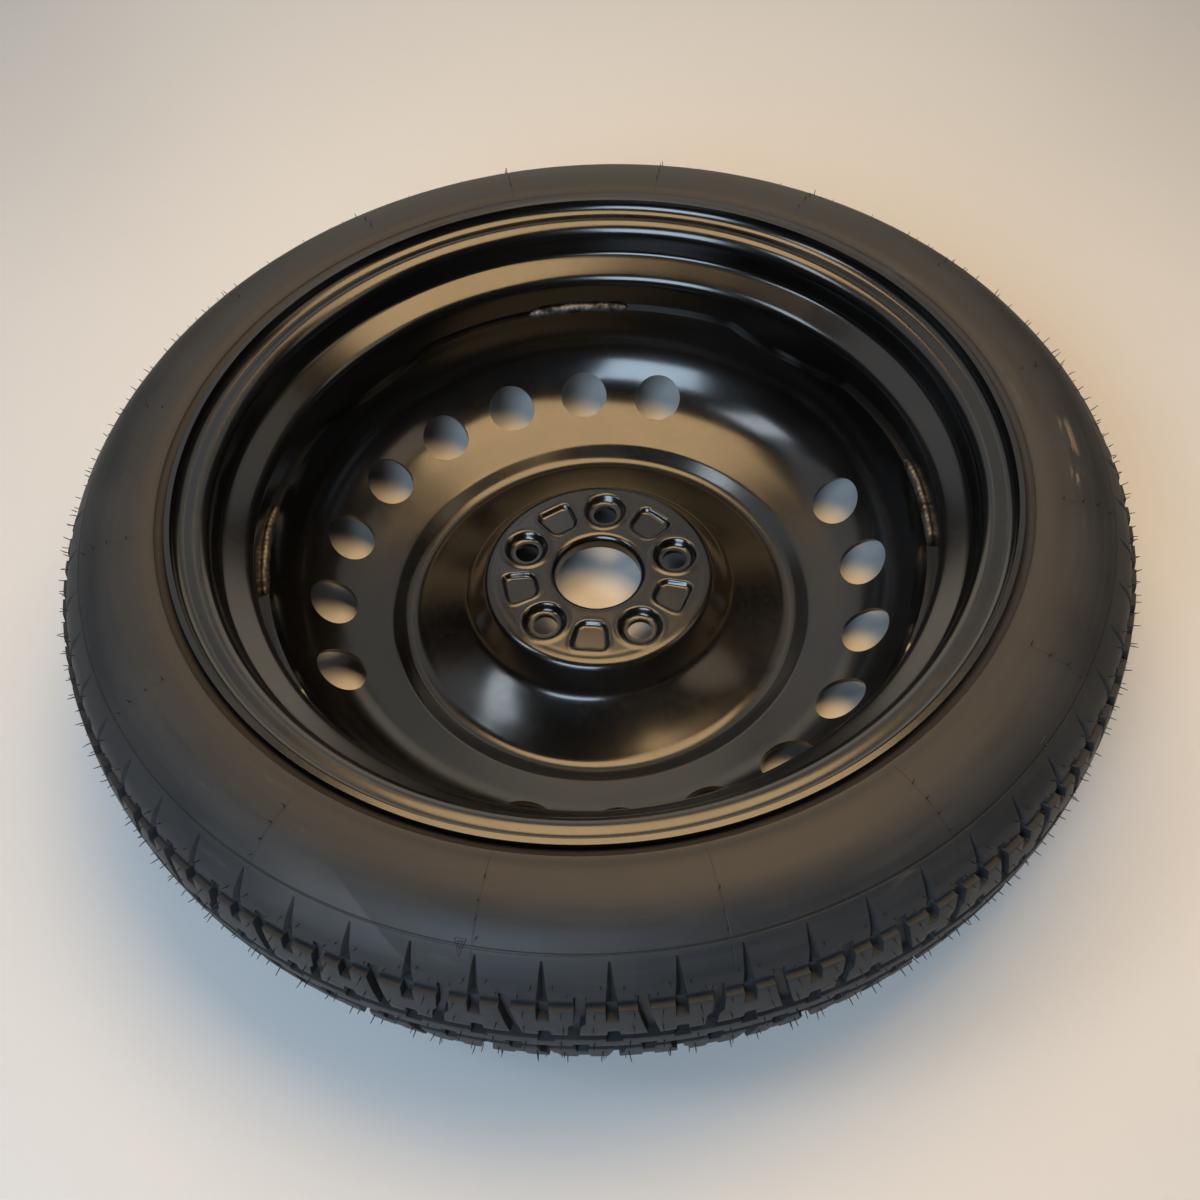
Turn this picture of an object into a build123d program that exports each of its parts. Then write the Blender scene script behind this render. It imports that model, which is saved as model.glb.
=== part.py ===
from build123d import *

import os
from math import asin, atan2, cos, degrees, hypot, radians, sin, sqrt, tan

# Temporary spare wheel: a narrow tyre on a pressed steel wheel, lying flat with its inboard side up.
# Millimetres and degrees. The origin is on the wheel's axis, on the surface that the wheel lies on,
# and +Z points along the axis to the inboard side. Angles run counter-clockwise from +X, seen from +Z.
# Sections are drawn as (radius, height) pairs in the XZ plane and turned about Z.

# Rim barrel, rolled from one strip
RIM_WIDTH = 101.6  # between the flange faces that the beads press on
SEAT_D = 436.6  # bead seat diameter at the flange
SEAT_WIDTH = 19.3
SEAT_TAPER = 5.0
SEAT_HEEL_R = 6.5
FLANGE_HEIGHT = 17.3
FLANGE_CURL_R = 9.5
FLANGE_LIP = 11.2  # from the flange face out to the end of the curled lip
WELL_D = 403.0  # bottom of the drop well, on the tyre's side
WELL_INBOARD = 21.0  # well edges, from the rim's centre plane
WELL_OUTBOARD = 24.0
RIM_SHEET = 3.0
INBOARD_LEDGE_R = 7.0
OUTBOARD_LEDGE_R = 4.0
WELL_R = 4.5

# Pressed disc, from the centre bore out to the flange that is welded into the well
DISC_SHEET = 3.2
WHEEL_INSET = 45.0  # hub face to the rim's centre plane
BORE_D = 54.1
BORE_LIP = 10.0  # drawn collar round the bore, towards the outboard side
BORE_EDGE_R = 4.5
PAD_D = 141.0  # flat pad that meets the hub
PAD_EDGE_R = 9.0
DOME_FOOT_D = 170.0  # where the steep side of the dome runs out into a cone
DOME_FOOT_DROP = 20.0
DOME_FOOT_R = 16.0
TROUGH_D = 242.0  # lowest circle of the round-bottomed trough, which the wheel lies on
TROUGH_DEPTH = 32.5  # trough floor below the hub face
TROUGH_R = 10.0
CROWN_D = 268.0  # edge where the trough's outer wall turns into the conical band
CROWN_RISE = 7.0
CROWN_EDGE_R = 6.0
BAND_SLOPE = 17.0
DISC_BEND_R = 61.0
DISC_FLANGE_RISE = 0.5  # disc edge below the rim's centre plane
DISC_FIT = 0.05

# Scallops in the disc's edge, midway between the welds
SCALLOP_COUNT = 4
SCALLOP_ANGLE = 45.5
SCALLOP_WIDTH = 90.0
SCALLOP_RAMP = 9.0
SCALLOP_STEP = 4.5
SCALLOP_SAG = 4.5

# Hub pad: wheel bolt seats and stiffening pockets
BOLT_COUNT = 5
BOLT_ANGLE = 81.7
BOLT_PCD = 100.0
BOLT_HOLE_D = 15.0
BOLT_DISH_D = 27.0
BOLT_DISH_FLOOR_D = 20.5
BOLT_DISH_DEPTH = 4.0
BOLT_BOSS_WALL = 2.0
NUT_SEAT_ANGLE = 60.0
NUT_SEAT_D = 17.0
POCKET_INNER_R = 39.5
POCKET_OUTER_R = 59.5
POCKET_INNER_WIDTH = 17.0
POCKET_OUTER_WIDTH = 24.0
POCKET_CORNER_R = 4.0
POCKET_DEPTH = 2.4
POCKET_WALL = 1.6

# Vent holes, in two groups with a gap on each side
VENT_PITCH = 18.0
VENT_FIRST_ANGLE = 0.5
VENT_PLACES = 20
VENT_GAP_PLACES = (2, 3, 12, 13)
VENT_HOLE_D = 32.5
VENT_CIRCLE_D = 341.6

# Arc welds between the disc's edge and the well
WELD_COUNT = 4
WELD_ANGLE = 0.5
WELD_SPAN = 20.0
WELD_LEG = 4.6
WELD_THROAT = 3.2

# Tyre
TYRE_D = 607.0
TYRE_WIDTH = 128.0
BEAD_FIT = 0.15
BEAD_WRAP = 50.0  # angle over which the bead follows the flange's curl
CLINCH_R = 20.0
SHOULDER_D = 597.6
TREAD_WIDTH = 76.0
SHOULDER_SLOPE = 47.9
SHOULDER_R = 36.4
SIDEWALL_THICKNESS = 6.5
TREAD_THICKNESS = 12.5
CAVITY_CROWN_DROP = 4.0
CAVITY_SHOULDER_R = 24.0
CAVITY_BEAD_R = 12.0
BEAD_TOP_D = 486.0  # where the thick bead runs out into the sidewall

# Tread; heights are from the tyre's centre plane, and the outboard half is turned by half a pitch
RIB_WIDTH = 9.8  # between the two main grooves
GROOVE_WIDTH = 5.4
GROOVE_BOTTOM = 3.8
GROOVE_DEPTH = 4.6
EDGE_GROOVE_STEP = 1.2  # from the shoulder's edge
EDGE_GROOVE_WIDTH = 3.0
EDGE_GROOVE_BOTTOM = 2.2
EDGE_GROOVE_DEPTH = 3.0
PITCH_COUNT = 62
PITCH_ANGLE = -91.3
SLIT_LENGTH = 18.5  # tapered slit over the shoulder
SLIT_WIDTH = 6.3
SLIT_DEPTH = 3.0
PIT_WIDTH = 5.8  # pit in the block under each slit
PIT_REACH = 8.8
PIT_DEPTH = 4.5
CUT_WIDTH = 5.5  # slanting cut between two blocks, with its other slant at every second pitch
CUT_DEPTH = 4.5
CUT_NOTCH = 3.5  # how far the cut goes up the shoulder
CUT_KINK = 2.6
NOTCH_WIDTH = 6.4  # notch across the main groove under each slit
NOTCH_REACH = 4.5
NOTCH_FOOT_REACH = 2.8
NOTCH_DEPTH = 4.0

# Snap-in valve, in the outboard ledge of the rim; heights run outwards from the ledge's tyre side
VALVE_ANGLE = 45.5
VALVE_HOLE_D = 11.3
VALVE_BUTTON_D = 15.6
VALVE_BUTTON_HEIGHT = 4.0
VALVE_COLLAR_D = 14.6
VALVE_TIP_D = 10.2
VALVE_RUBBER_TOP = 15.0
VALVE_COLLAR_FIT = 0.2
VALVE_COLLAR_RISE = 2.2  # the collar and the button taper back to the hole over these heights
VALVE_BUTTON_RISE = 1.2
STEM_D = 6.0
STEM_FOOT_D = 8.0
STEM_FOOT_HEIGHT = 2.0
STEM_THREAD_D = 7.7
STEM_TOP = 27.0
STEM_AIRWAY_D = 3.0
STEM_CUP_BORE_D = 4.2
STEM_CUP_BORE_FROM = 8.0
STEM_SEAT_FROM = 13.5
STEM_SEAT_TO = 15.5
STEM_CORE_BORE_D = 5.4

# Valve core, screwed into the stem
CORE_FIT = 0.08
CORE_PLUG_FROM = 21.5
CORE_PLUG_TO = 25.5
CORE_PLUG_BORE_D = 2.2
CORE_BARREL_D = 4.0
CORE_BARREL_BORE_D = 3.2
CORE_BARREL_FLOOR = 0.8
CORE_GUIDE_D = 1.7
CORE_GASKET_TOP = 17.0
CORE_GASKET_FIT = 0.02
PIN_D = 1.2
PIN_TOP = 26.3
PIN_FOOT = 9.5
PIN_COLLAR_D = 2.9
PIN_COLLAR_FROM = 19.5
PIN_COLLAR_HEIGHT = 0.8
SEAL_D = 2.9
SEAL_HEIGHT = 0.8
CUP_D = 3.5
CUP_FLOOR = 0.6
CUP_WALL_HEIGHT = 0.5
SEAL_LIFT = 0.05
SPRING_D = 2.4
SPRING_WIRE_D = 0.36
SPRING_TURNS = 5
SPRING_FIT = 0.05

# Valve cap
CAP_D = 9.6
CAP_FIT = 0.1
CAP_BOTTOM_GAP = 0.4
CAP_TOP_GAP = 0.4
CAP_ROOF = 1.3
CAP_RIB_COUNT = 12
CAP_RIB_DEPTH = 0.35
CAP_EDGE_R = 0.8

# Heights that follow from the sizes above
HUB_FACE_Z = DISC_SHEET + TROUGH_DEPTH
CENTRE_Z = HUB_FACE_Z + WHEEL_INSET
WELL_BORE_R = WELL_D / 2 - RIM_SHEET
DISC_FLANGE_R = WELL_BORE_R - DISC_FIT - DISC_SHEET
DISC_EDGE_Z = CENTRE_Z - DISC_FLANGE_RISE
CROWN_DROP = (TYRE_D - SHOULDER_D) / 2
CROWN_R = (CROWN_DROP**2 + (TREAD_WIDTH / 2) ** 2) / (2 * CROWN_DROP)
GROOVE_INNER = RIB_WIDTH / 2
GROOVE_OUTER = GROOVE_INNER + GROOVE_WIDTH
EDGE_GROOVE_OUTER = TREAD_WIDTH / 2 - EDGE_GROOVE_STEP
EDGE_GROOVE_INNER = EDGE_GROOVE_OUTER - EDGE_GROOVE_WIDTH


def turned(section):
    """A solid of revolution about Z from a face drawn as (radius, height)."""
    return revolve(Plane.XZ * section, Axis.Z)


def polygon(*points):
    """A face with straight sides through the given points."""
    return make_face(Polyline(*points, close=True))


def sheet(corners, radii, thickness, side):
    """The section of a bent sheet: a rounded polyline given thickness on one side."""
    path = FilletPolyline(*corners, radius=radii)
    return make_face(offset(path, thickness, side=side, kind=Kind.INTERSECTION, closed=True))


def around(angle, radius=0.0, height=0.0):
    """A location on the wheel whose X axis points outwards at the given angle."""
    return Rot(0, 0, angle) * Pos(radius, 0, height)


def rim_corners():
    """Corners of the barrel's tyre side, from the inboard lip to the outboard lip."""
    tip_r = SEAT_D / 2 + FLANGE_HEIGHT
    seat_end_r = SEAT_D / 2 - SEAT_WIDTH * tan(radians(SEAT_TAPER))
    face = RIM_WIDTH / 2
    lip = face + FLANGE_LIP
    seat_end = face - SEAT_WIDTH
    inboard = [(tip_r, lip), (tip_r, face), (SEAT_D / 2, face), (seat_end_r, seat_end)]
    well = [(WELL_D / 2, WELL_INBOARD), (WELL_D / 2, -WELL_OUTBOARD)]
    outboard = [(radius, -height) for radius, height in reversed(inboard)]
    return [(radius, CENTRE_Z + height) for radius, height in inboard + well + outboard]


def valve_plane():
    """The middle of the outboard ledge's tyre side, with Z along the valve, out of the tyre."""
    corners = rim_corners()
    (well_r, well_z), (seat_r, seat_z) = corners[5], corners[6]
    run = hypot(seat_r - well_r, seat_z - well_z)
    inward = (seat_z - well_z) / run
    down = -(seat_r - well_r) / run
    swing = Plane(around(VALVE_ANGLE))
    origin = swing.from_local_coords(Vector((well_r + seat_r) / 2, 0, (well_z + seat_z) / 2))
    axis = swing.from_local_coords(Vector(inward, 0, down))
    return Plane(origin=origin, z_dir=axis)


def make_rim():
    flange = [FLANGE_CURL_R, SEAT_HEEL_R]
    radii = flange + [INBOARD_LEDGE_R, WELL_R, WELL_R, OUTBOARD_LEDGE_R] + flange[::-1]
    barrel = turned(sheet(rim_corners(), radii, RIM_SHEET, Side.RIGHT))
    hole = valve_plane() * Cylinder(VALVE_HOLE_D / 2, 4 * RIM_SHEET)
    return barrel - hole


def trough_slope(radius, height, side):
    """Slope of the line that runs from a point to the underside of the trough's arc."""
    run = TROUGH_D / 2 - radius
    rise = HUB_FACE_Z - TROUGH_DEPTH + TROUGH_R - height
    return tan(atan2(rise, run) + side * asin(TROUGH_R / hypot(run, rise)))


def disc_corners():
    """Corners of the disc's inboard side, from the bore's collar to the welded edge."""
    foot_r = DOME_FOOT_D / 2
    foot_z = HUB_FACE_Z - DOME_FOOT_DROP
    crown_z = HUB_FACE_Z - TROUGH_DEPTH + CROWN_RISE
    cone = trough_slope(foot_r, foot_z, -1)
    wall = trough_slope(CROWN_D / 2, crown_z, 1)
    trough_r = (crown_z - foot_z + cone * foot_r - wall * CROWN_D / 2) / (cone - wall)
    bend_z = crown_z + (DISC_FLANGE_R - CROWN_D / 2) * tan(radians(BAND_SLOPE))
    return [
        (BORE_D / 2, HUB_FACE_Z - BORE_LIP),
        (BORE_D / 2, HUB_FACE_Z),
        (PAD_D / 2, HUB_FACE_Z),
        (foot_r, foot_z),
        (trough_r, foot_z + cone * (trough_r - foot_r)),
        (CROWN_D / 2, crown_z),
        (DISC_FLANGE_R, bend_z),
        (DISC_FLANGE_R, DISC_EDGE_Z),
    ]


def vent_plane():
    """On the disc's bend at the vent circle, at angle 0, with Z square to the sheet."""
    corner_r, corner_z = disc_corners()[6]
    tangent = DISC_BEND_R * tan(radians(45 - BAND_SLOPE / 2))
    centre_r = corner_r - DISC_BEND_R
    centre_z = corner_z + tangent
    reach = VENT_CIRCLE_D / 2 - centre_r
    drop = sqrt(DISC_BEND_R**2 - reach**2)
    return Plane(origin=(VENT_CIRCLE_D / 2, 0, centre_z - drop), z_dir=(-reach, 0, drop))


def scallop_cutter():
    """A radial prism that lowers the disc's edge: a ramp down at each end and a shallow arc between."""
    half = SCALLOP_WIDTH / 2
    foot = half - SCALLOP_RAMP
    above = DISC_SHEET
    left_foot = (-foot, -SCALLOP_STEP)
    right_foot = (foot, -SCALLOP_STEP)
    sides = Polyline(left_foot, (-half, 0), (-half, above), (half, above), (half, 0), right_foot)
    dip = ThreePointArc(right_foot, (0, -SCALLOP_STEP - SCALLOP_SAG), left_foot)
    face = make_face([*sides.edges(), *dip.edges()])
    radial = Plane(origin=(DISC_FLANGE_R, 0, DISC_EDGE_Z), x_dir=(0, 1, 0), z_dir=(1, 0, 0))
    return extrude(radial * face, 4 * DISC_SHEET, both=True)


def pocket(grow, depth):
    """A rounded trapezium pressed into the hub pad, centred on the X axis and standing on height 0."""
    middle = (POCKET_INNER_R + POCKET_OUTER_R) / 2
    outline = polygon(
        (POCKET_INNER_R - grow, -POCKET_INNER_WIDTH / 2 - grow),
        (POCKET_OUTER_R + grow, -POCKET_OUTER_WIDTH / 2 - grow),
        (POCKET_OUTER_R + grow, POCKET_OUTER_WIDTH / 2 + grow),
        (POCKET_INNER_R - grow, POCKET_INNER_WIDTH / 2 + grow),
    )
    rounded = fillet(outline.vertices(), POCKET_CORNER_R + grow)
    return Pos(middle, 0, 0) * extrude(Pos(-middle, 0, 0) * rounded, depth)


def bolt_boss():
    """A raised ring under the pad for one bolt, centred on the Z axis."""
    low_r = BOLT_DISH_FLOOR_D / 2 + BOLT_BOSS_WALL
    high_r = BOLT_DISH_D / 2 + BOLT_BOSS_WALL
    under_z = HUB_FACE_Z - DISC_SHEET
    return Pos(0, 0, under_z - BOLT_DISH_DEPTH / 2) * Cone(low_r, high_r, BOLT_DISH_DEPTH)


def bolt_cutter():
    """The space round one bolt: a dish from the hub side, the hole, and the nut's conical seat."""
    over = BOLT_DISH_DEPTH / 4
    dish_flank = (BOLT_DISH_D - BOLT_DISH_FLOOR_D) / 2 / BOLT_DISH_DEPTH
    nut_flank = tan(radians(NUT_SEAT_ANGLE / 2))
    dish_floor_z = HUB_FACE_Z - BOLT_DISH_DEPTH
    boss_z = dish_floor_z - DISC_SHEET
    seat_top_z = boss_z + (NUT_SEAT_D - BOLT_HOLE_D) / 2 / nut_flank
    outline = polygon(
        (0, boss_z - over),
        (NUT_SEAT_D / 2 + over * nut_flank, boss_z - over),
        (BOLT_HOLE_D / 2, seat_top_z),
        (BOLT_HOLE_D / 2, dish_floor_z),
        (BOLT_DISH_FLOOR_D / 2, dish_floor_z),
        (BOLT_DISH_D / 2 + over * dish_flank, HUB_FACE_Z + over),
        (0, HUB_FACE_Z + over),
    )
    return turned(outline)


def make_disc():
    radii = [
        BORE_EDGE_R,
        PAD_EDGE_R,
        DOME_FOOT_R,
        TROUGH_R,
        CROWN_EDGE_R,
        DISC_BEND_R,
    ]
    disc = turned(sheet(disc_corners(), radii, DISC_SHEET, Side.RIGHT))
    bolt_angles = [BOLT_ANGLE + 360 * k / BOLT_COUNT for k in range(BOLT_COUNT)]
    bolts = [around(angle, BOLT_PCD / 2) for angle in bolt_angles]
    pockets = [around(angle + 180 / BOLT_COUNT, 0, HUB_FACE_Z) for angle in bolt_angles]
    vents = [place for place in range(VENT_PLACES) if place not in VENT_GAP_PLACES]
    scallops = [SCALLOP_ANGLE + 360 * k / SCALLOP_COUNT for k in range(SCALLOP_COUNT)]
    raised = Pos(0, 0, -DISC_SHEET - POCKET_DEPTH) * pocket(POCKET_WALL, POCKET_DEPTH)
    sunk = Pos(0, 0, -POCKET_DEPTH) * pocket(0, 2 * POCKET_DEPTH)
    vent = vent_plane() * Cylinder(VENT_HOLE_D / 2, 4 * DISC_SHEET)
    scallop = scallop_cutter()
    disc += [place * bolt_boss() for place in bolts]
    disc -= [place * bolt_cutter() for place in bolts]
    disc += [place * raised for place in pockets]
    disc -= [place * sunk for place in pockets]
    disc -= [Rot(0, 0, VENT_FIRST_ANGLE + place * VENT_PITCH) * vent for place in vents]
    disc -= [Rot(0, 0, angle) * scallop for angle in scallops]
    return disc


def make_weld_beads():
    """Fillet welds that fill the corner over the disc's edge, one separate solid for each."""
    edge_r = WELL_BORE_R - DISC_FIT
    section = make_face(
        [
            Line((WELL_BORE_R, DISC_EDGE_Z), (WELL_BORE_R, DISC_EDGE_Z + WELD_LEG)),
            ThreePointArc(
                (WELL_BORE_R, DISC_EDGE_Z + WELD_LEG),
                (DISC_FLANGE_R - WELD_THROAT / 4, DISC_EDGE_Z + WELD_THROAT / 2),
                (DISC_FLANGE_R, DISC_EDGE_Z - WELD_LEG),
            ),
            Line((DISC_FLANGE_R, DISC_EDGE_Z - WELD_LEG), (DISC_FLANGE_R, DISC_EDGE_Z)),
            Line((DISC_FLANGE_R, DISC_EDGE_Z), (edge_r, DISC_EDGE_Z)),
            Line((edge_r, DISC_EDGE_Z), (WELL_BORE_R, DISC_EDGE_Z)),
        ]
    )
    bead = Rot(0, 0, -WELD_SPAN / 2) * revolve(Plane.XZ * section, Axis.Z, WELD_SPAN)
    places = [WELD_ANGLE + 360 * k / WELD_COUNT for k in range(WELD_COUNT)]
    return Compound([Rot(0, 0, angle) * bead for angle in places])


def tyre_half(side):
    """Edges of half the tyre's section, from the middle of its cavity to the middle of its tread."""
    half_width = TYRE_WIDTH / 2
    face = RIM_WIDTH / 2 - BEAD_FIT
    seat_r = SEAT_D / 2 + BEAD_FIT
    toe = (seat_r - SEAT_WIDTH * tan(radians(SEAT_TAPER)), RIM_WIDTH / 2 - SEAT_WIDTH)
    curl_r = SEAT_D / 2 + FLANGE_HEIGHT - FLANGE_CURL_R
    curl_z = RIM_WIDTH / 2 + FLANGE_CURL_R
    wrap_r = FLANGE_CURL_R + BEAD_FIT
    wrap = radians(BEAD_WRAP)
    half_wrap = radians(BEAD_WRAP / 2)
    leave = (curl_r + wrap_r * sin(wrap), curl_z - wrap_r * cos(wrap))
    clinch = (leave[0] + (half_width - leave[1]) / tan(wrap), half_width)
    shoulder = (SHOULDER_D / 2, TREAD_WIDTH / 2)
    rise = (half_width - shoulder[1]) / tan(radians(SHOULDER_SLOPE))
    crest = (shoulder[0] - rise, half_width)
    cavity_r = TYRE_D / 2 - TREAD_THICKNESS
    cavity_width = half_width - SIDEWALL_THICKNESS
    cavity_shoulder = (cavity_r - CAVITY_CROWN_DROP, cavity_width)
    bead_top = (BEAD_TOP_D / 2, cavity_width)

    def placed(points):
        return [(radius, CENTRE_Z + side * height) for radius, height in points]

    cavity = FilletPolyline(
        *placed([(cavity_r, 0), cavity_shoulder, bead_top, toe]),
        radius=[CAVITY_SHOULDER_R, CAVITY_BEAD_R],
    )
    bead = FilletPolyline(*placed([toe, (seat_r, face), (curl_r, face)]), radius=SEAT_HEEL_R)
    mid_wrap = (curl_r + wrap_r * sin(half_wrap), curl_z - wrap_r * cos(half_wrap))
    curl = ThreePointArc(*placed([(curl_r, face), mid_wrap, leave]))
    sidewall = FilletPolyline(*placed([leave, clinch, crest, shoulder]), radius=[CLINCH_R, SHOULDER_R])
    return [*cavity.edges(), *bead.edges(), *curl.edges(), *sidewall.edges()]


def crown_r(height):
    """Radius of the tread's outside, an arc over the tyre's centre plane."""
    return TYRE_D / 2 - CROWN_R + sqrt(CROWN_R**2 - height**2)


def ring_groove(inner, outer, bottom, depth):
    """A groove round the inboard half of the tread, with its floor along the crown."""
    lean = (outer - inner - bottom) / 2
    outline = polygon(
        (crown_r(inner) + depth, inner - lean),
        (crown_r(inner) - depth, inner + lean),
        (crown_r(outer) - depth, outer - lean),
        (crown_r(outer) + depth, outer + lean),
    )
    return turned(Pos(0, CENTRE_Z) * outline)


def sector_cut(low, high, width, aside, depth):
    """A cut across the tread between two heights, over angle 0: a short arc of a groove."""
    top = min(high, TREAD_WIDTH / 2)
    fall = (crown_r(low) - crown_r(top)) / (top - low)
    floor_low = crown_r(low) - depth
    floor_high = floor_low - fall * (high - low)
    outside = TYRE_D / 2 + depth
    outline = polygon((floor_low, low), (outside, low), (outside, high), (floor_high, high))
    arc = degrees(width / crown_r(low))
    start = degrees((aside - width / 2) / crown_r(low))
    return Rot(0, 0, start) * revolve(Plane.XZ * Pos(0, CENTRE_Z) * outline, Axis.Z, arc)


def slit():
    """A pyramid lying over the shoulder at angle 0, with its point up the sidewall."""
    lean = radians(SHOULDER_SLOPE)
    edge = Plane(
        origin=(SHOULDER_D / 2, 0, CENTRE_Z + TREAD_WIDTH / 2),
        x_dir=(0, 1, 0),
        z_dir=(-cos(lean), 0, sin(lean)),
    )
    past = EDGE_GROOVE_STEP + EDGE_GROOVE_WIDTH
    grow = (SLIT_LENGTH + past) / SLIT_LENGTH
    wide = SLIT_WIDTH * grow
    deep = SLIT_DEPTH * grow
    base = polygon((-wide, -deep), (wide, -deep), (0, deep))
    point = edge.from_local_coords(Vector(0, 0, SLIT_LENGTH))
    return loft([edge * Pos(0, 0, -past) * base, Vertex(point)])


def pit():
    """The pit that a slit runs into, at the top of a block."""
    return sector_cut(EDGE_GROOVE_INNER - PIT_REACH, EDGE_GROOVE_INNER, PIT_WIDTH, 0, PIT_DEPTH)


def groove_notch():
    """The notch at the foot of a block, across the main groove and into the rib."""
    foot = GROOVE_INNER - NOTCH_FOOT_REACH
    return sector_cut(foot, GROOVE_OUTER + NOTCH_REACH, NOTCH_WIDTH, 0, NOTCH_DEPTH)


def block_cut(turn):
    """The kinked cut between two blocks; turn is 1 or -1 for its slant."""
    knee = (EDGE_GROOVE_INNER + GROOVE_OUTER) / 2
    top = TREAD_WIDTH / 2 + CUT_NOTCH
    upper = sector_cut(knee, top, CUT_WIDTH, -turn * CUT_KINK / 2, CUT_DEPTH)
    lower = sector_cut(GROOVE_OUTER, knee, CUT_WIDTH, turn * CUT_KINK / 2, CUT_DEPTH)
    return [upper, lower]


def tread_cutters():
    """Everything cut out of the inboard half of the tread."""
    pitch = 360 / PITCH_COUNT
    cutters = [
        ring_groove(GROOVE_INNER, GROOVE_OUTER, GROOVE_BOTTOM, GROOVE_DEPTH),
        ring_groove(EDGE_GROOVE_INNER, EDGE_GROOVE_OUTER, EDGE_GROOVE_BOTTOM, EDGE_GROOVE_DEPTH),
    ]
    under_slit = [slit(), pit(), groove_notch()]
    cuts = [block_cut(1), block_cut(-1)]
    for k in range(PITCH_COUNT):
        angle = PITCH_ANGLE + k * pitch
        cutters += [Rot(0, 0, angle) * shape for shape in under_slit]
        cutters += [Rot(0, 0, angle + pitch / 2) * shape for shape in cuts[k % 2]]
    return cutters


def make_tyre():
    knee = (GROOVE_INNER + GROOVE_OUTER) / 2
    half_tread = TREAD_WIDTH / 2
    heights = (half_tread, knee, 0, -knee, -half_tread)
    tread = Polyline(*((crown_r(abs(height)), CENTRE_Z + height) for height in heights))
    tyre = turned(make_face([*tyre_half(1), *tread.edges(), *tyre_half(-1)]))
    inboard = tread_cutters()
    middle = Plane.XY.offset(CENTRE_Z)
    outboard = [Rot(0, 0, 180 / PITCH_COUNT) * mirror(shape, middle) for shape in inboard]
    return tyre - (inboard + outboard)


def make_valve_rubber():
    """Rubber body: a button inside the rim, a neck in the hole and a tapered stalk outside."""
    collar_from = RIM_SHEET + VALVE_COLLAR_FIT
    outline = polygon(
        (STEM_AIRWAY_D / 2, -VALVE_BUTTON_HEIGHT),
        (VALVE_BUTTON_D / 2, -VALVE_BUTTON_HEIGHT),
        (VALVE_BUTTON_D / 2, -VALVE_BUTTON_RISE),
        (VALVE_HOLE_D / 2, 0),
        (VALVE_HOLE_D / 2, collar_from),
        (VALVE_COLLAR_D / 2, collar_from + VALVE_COLLAR_RISE),
        (VALVE_TIP_D / 2, VALVE_RUBBER_TOP),
        (STEM_D / 2, VALVE_RUBBER_TOP),
        (STEM_D / 2, 0),
        (STEM_FOOT_D / 2, 0),
        (STEM_FOOT_D / 2, -STEM_FOOT_HEIGHT),
        (STEM_AIRWAY_D / 2, -STEM_FOOT_HEIGHT),
    )
    return turned(outline)


def make_valve_stem():
    """Brass stem: a foot moulded into the rubber, a threaded end, and the bored seat for the core."""
    outline = polygon(
        (STEM_AIRWAY_D / 2, -STEM_FOOT_HEIGHT),
        (STEM_FOOT_D / 2, -STEM_FOOT_HEIGHT),
        (STEM_FOOT_D / 2, 0),
        (STEM_D / 2, 0),
        (STEM_D / 2, VALVE_RUBBER_TOP),
        (STEM_THREAD_D / 2, VALVE_RUBBER_TOP),
        (STEM_THREAD_D / 2, STEM_TOP),
        (STEM_CORE_BORE_D / 2, STEM_TOP),
        (STEM_CORE_BORE_D / 2, STEM_SEAT_TO),
        (STEM_CUP_BORE_D / 2, STEM_SEAT_FROM),
        (STEM_CUP_BORE_D / 2, STEM_CUP_BORE_FROM),
        (STEM_AIRWAY_D / 2, STEM_CUP_BORE_FROM),
    )
    return turned(outline)


def make_core_plug():
    """Threaded head of the core, with the two flats that a core key turns."""
    ring = polygon(
        (CORE_PLUG_BORE_D / 2, CORE_PLUG_FROM),
        (STEM_CORE_BORE_D / 2 - CORE_FIT, CORE_PLUG_FROM),
        (STEM_CORE_BORE_D / 2 - CORE_FIT, CORE_PLUG_TO),
        (CORE_PLUG_BORE_D / 2, CORE_PLUG_TO),
    )
    flat_height = (CORE_PLUG_TO - CORE_PLUG_FROM) / 2
    flat_offset = (CORE_PLUG_BORE_D + STEM_CORE_BORE_D) / 4
    slab = Box(STEM_CORE_BORE_D, STEM_CORE_BORE_D, flat_height, align=(Align.CENTER, Align.MIN, Align.MAX))
    plug = turned(ring)
    plug -= Pos(0, flat_offset, CORE_PLUG_TO) * slab
    plug -= Pos(0, -flat_offset, CORE_PLUG_TO) * Rot(0, 0, 180) * slab
    return plug


def make_core_barrel():
    outline = polygon(
        (CORE_GUIDE_D / 2, STEM_SEAT_FROM),
        (CORE_BARREL_D / 2, STEM_SEAT_FROM),
        (CORE_BARREL_D / 2, CORE_PLUG_FROM),
        (CORE_BARREL_BORE_D / 2, CORE_PLUG_FROM),
        (CORE_BARREL_BORE_D / 2, STEM_SEAT_FROM + CORE_BARREL_FLOOR),
        (CORE_GUIDE_D / 2, STEM_SEAT_FROM + CORE_BARREL_FLOOR),
    )
    return turned(outline)


def make_core_gasket():
    """Ring that seals the barrel on the stem's conical seat."""
    bore_r = CORE_BARREL_D / 2 + CORE_GASKET_FIT
    seat_from_r = STEM_CUP_BORE_D / 2
    seat_to_r = STEM_CORE_BORE_D / 2
    foot = (STEM_SEAT_FROM + STEM_SEAT_TO) / 2
    foot_r = (seat_from_r + seat_to_r) / 2 - CORE_GASKET_FIT
    outline = polygon(
        (bore_r, foot),
        (foot_r, foot),
        (seat_to_r - CORE_GASKET_FIT, STEM_SEAT_TO),
        (seat_to_r - CORE_GASKET_FIT, CORE_GASKET_TOP),
        (bore_r, CORE_GASKET_TOP),
    )
    return turned(outline)


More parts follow.
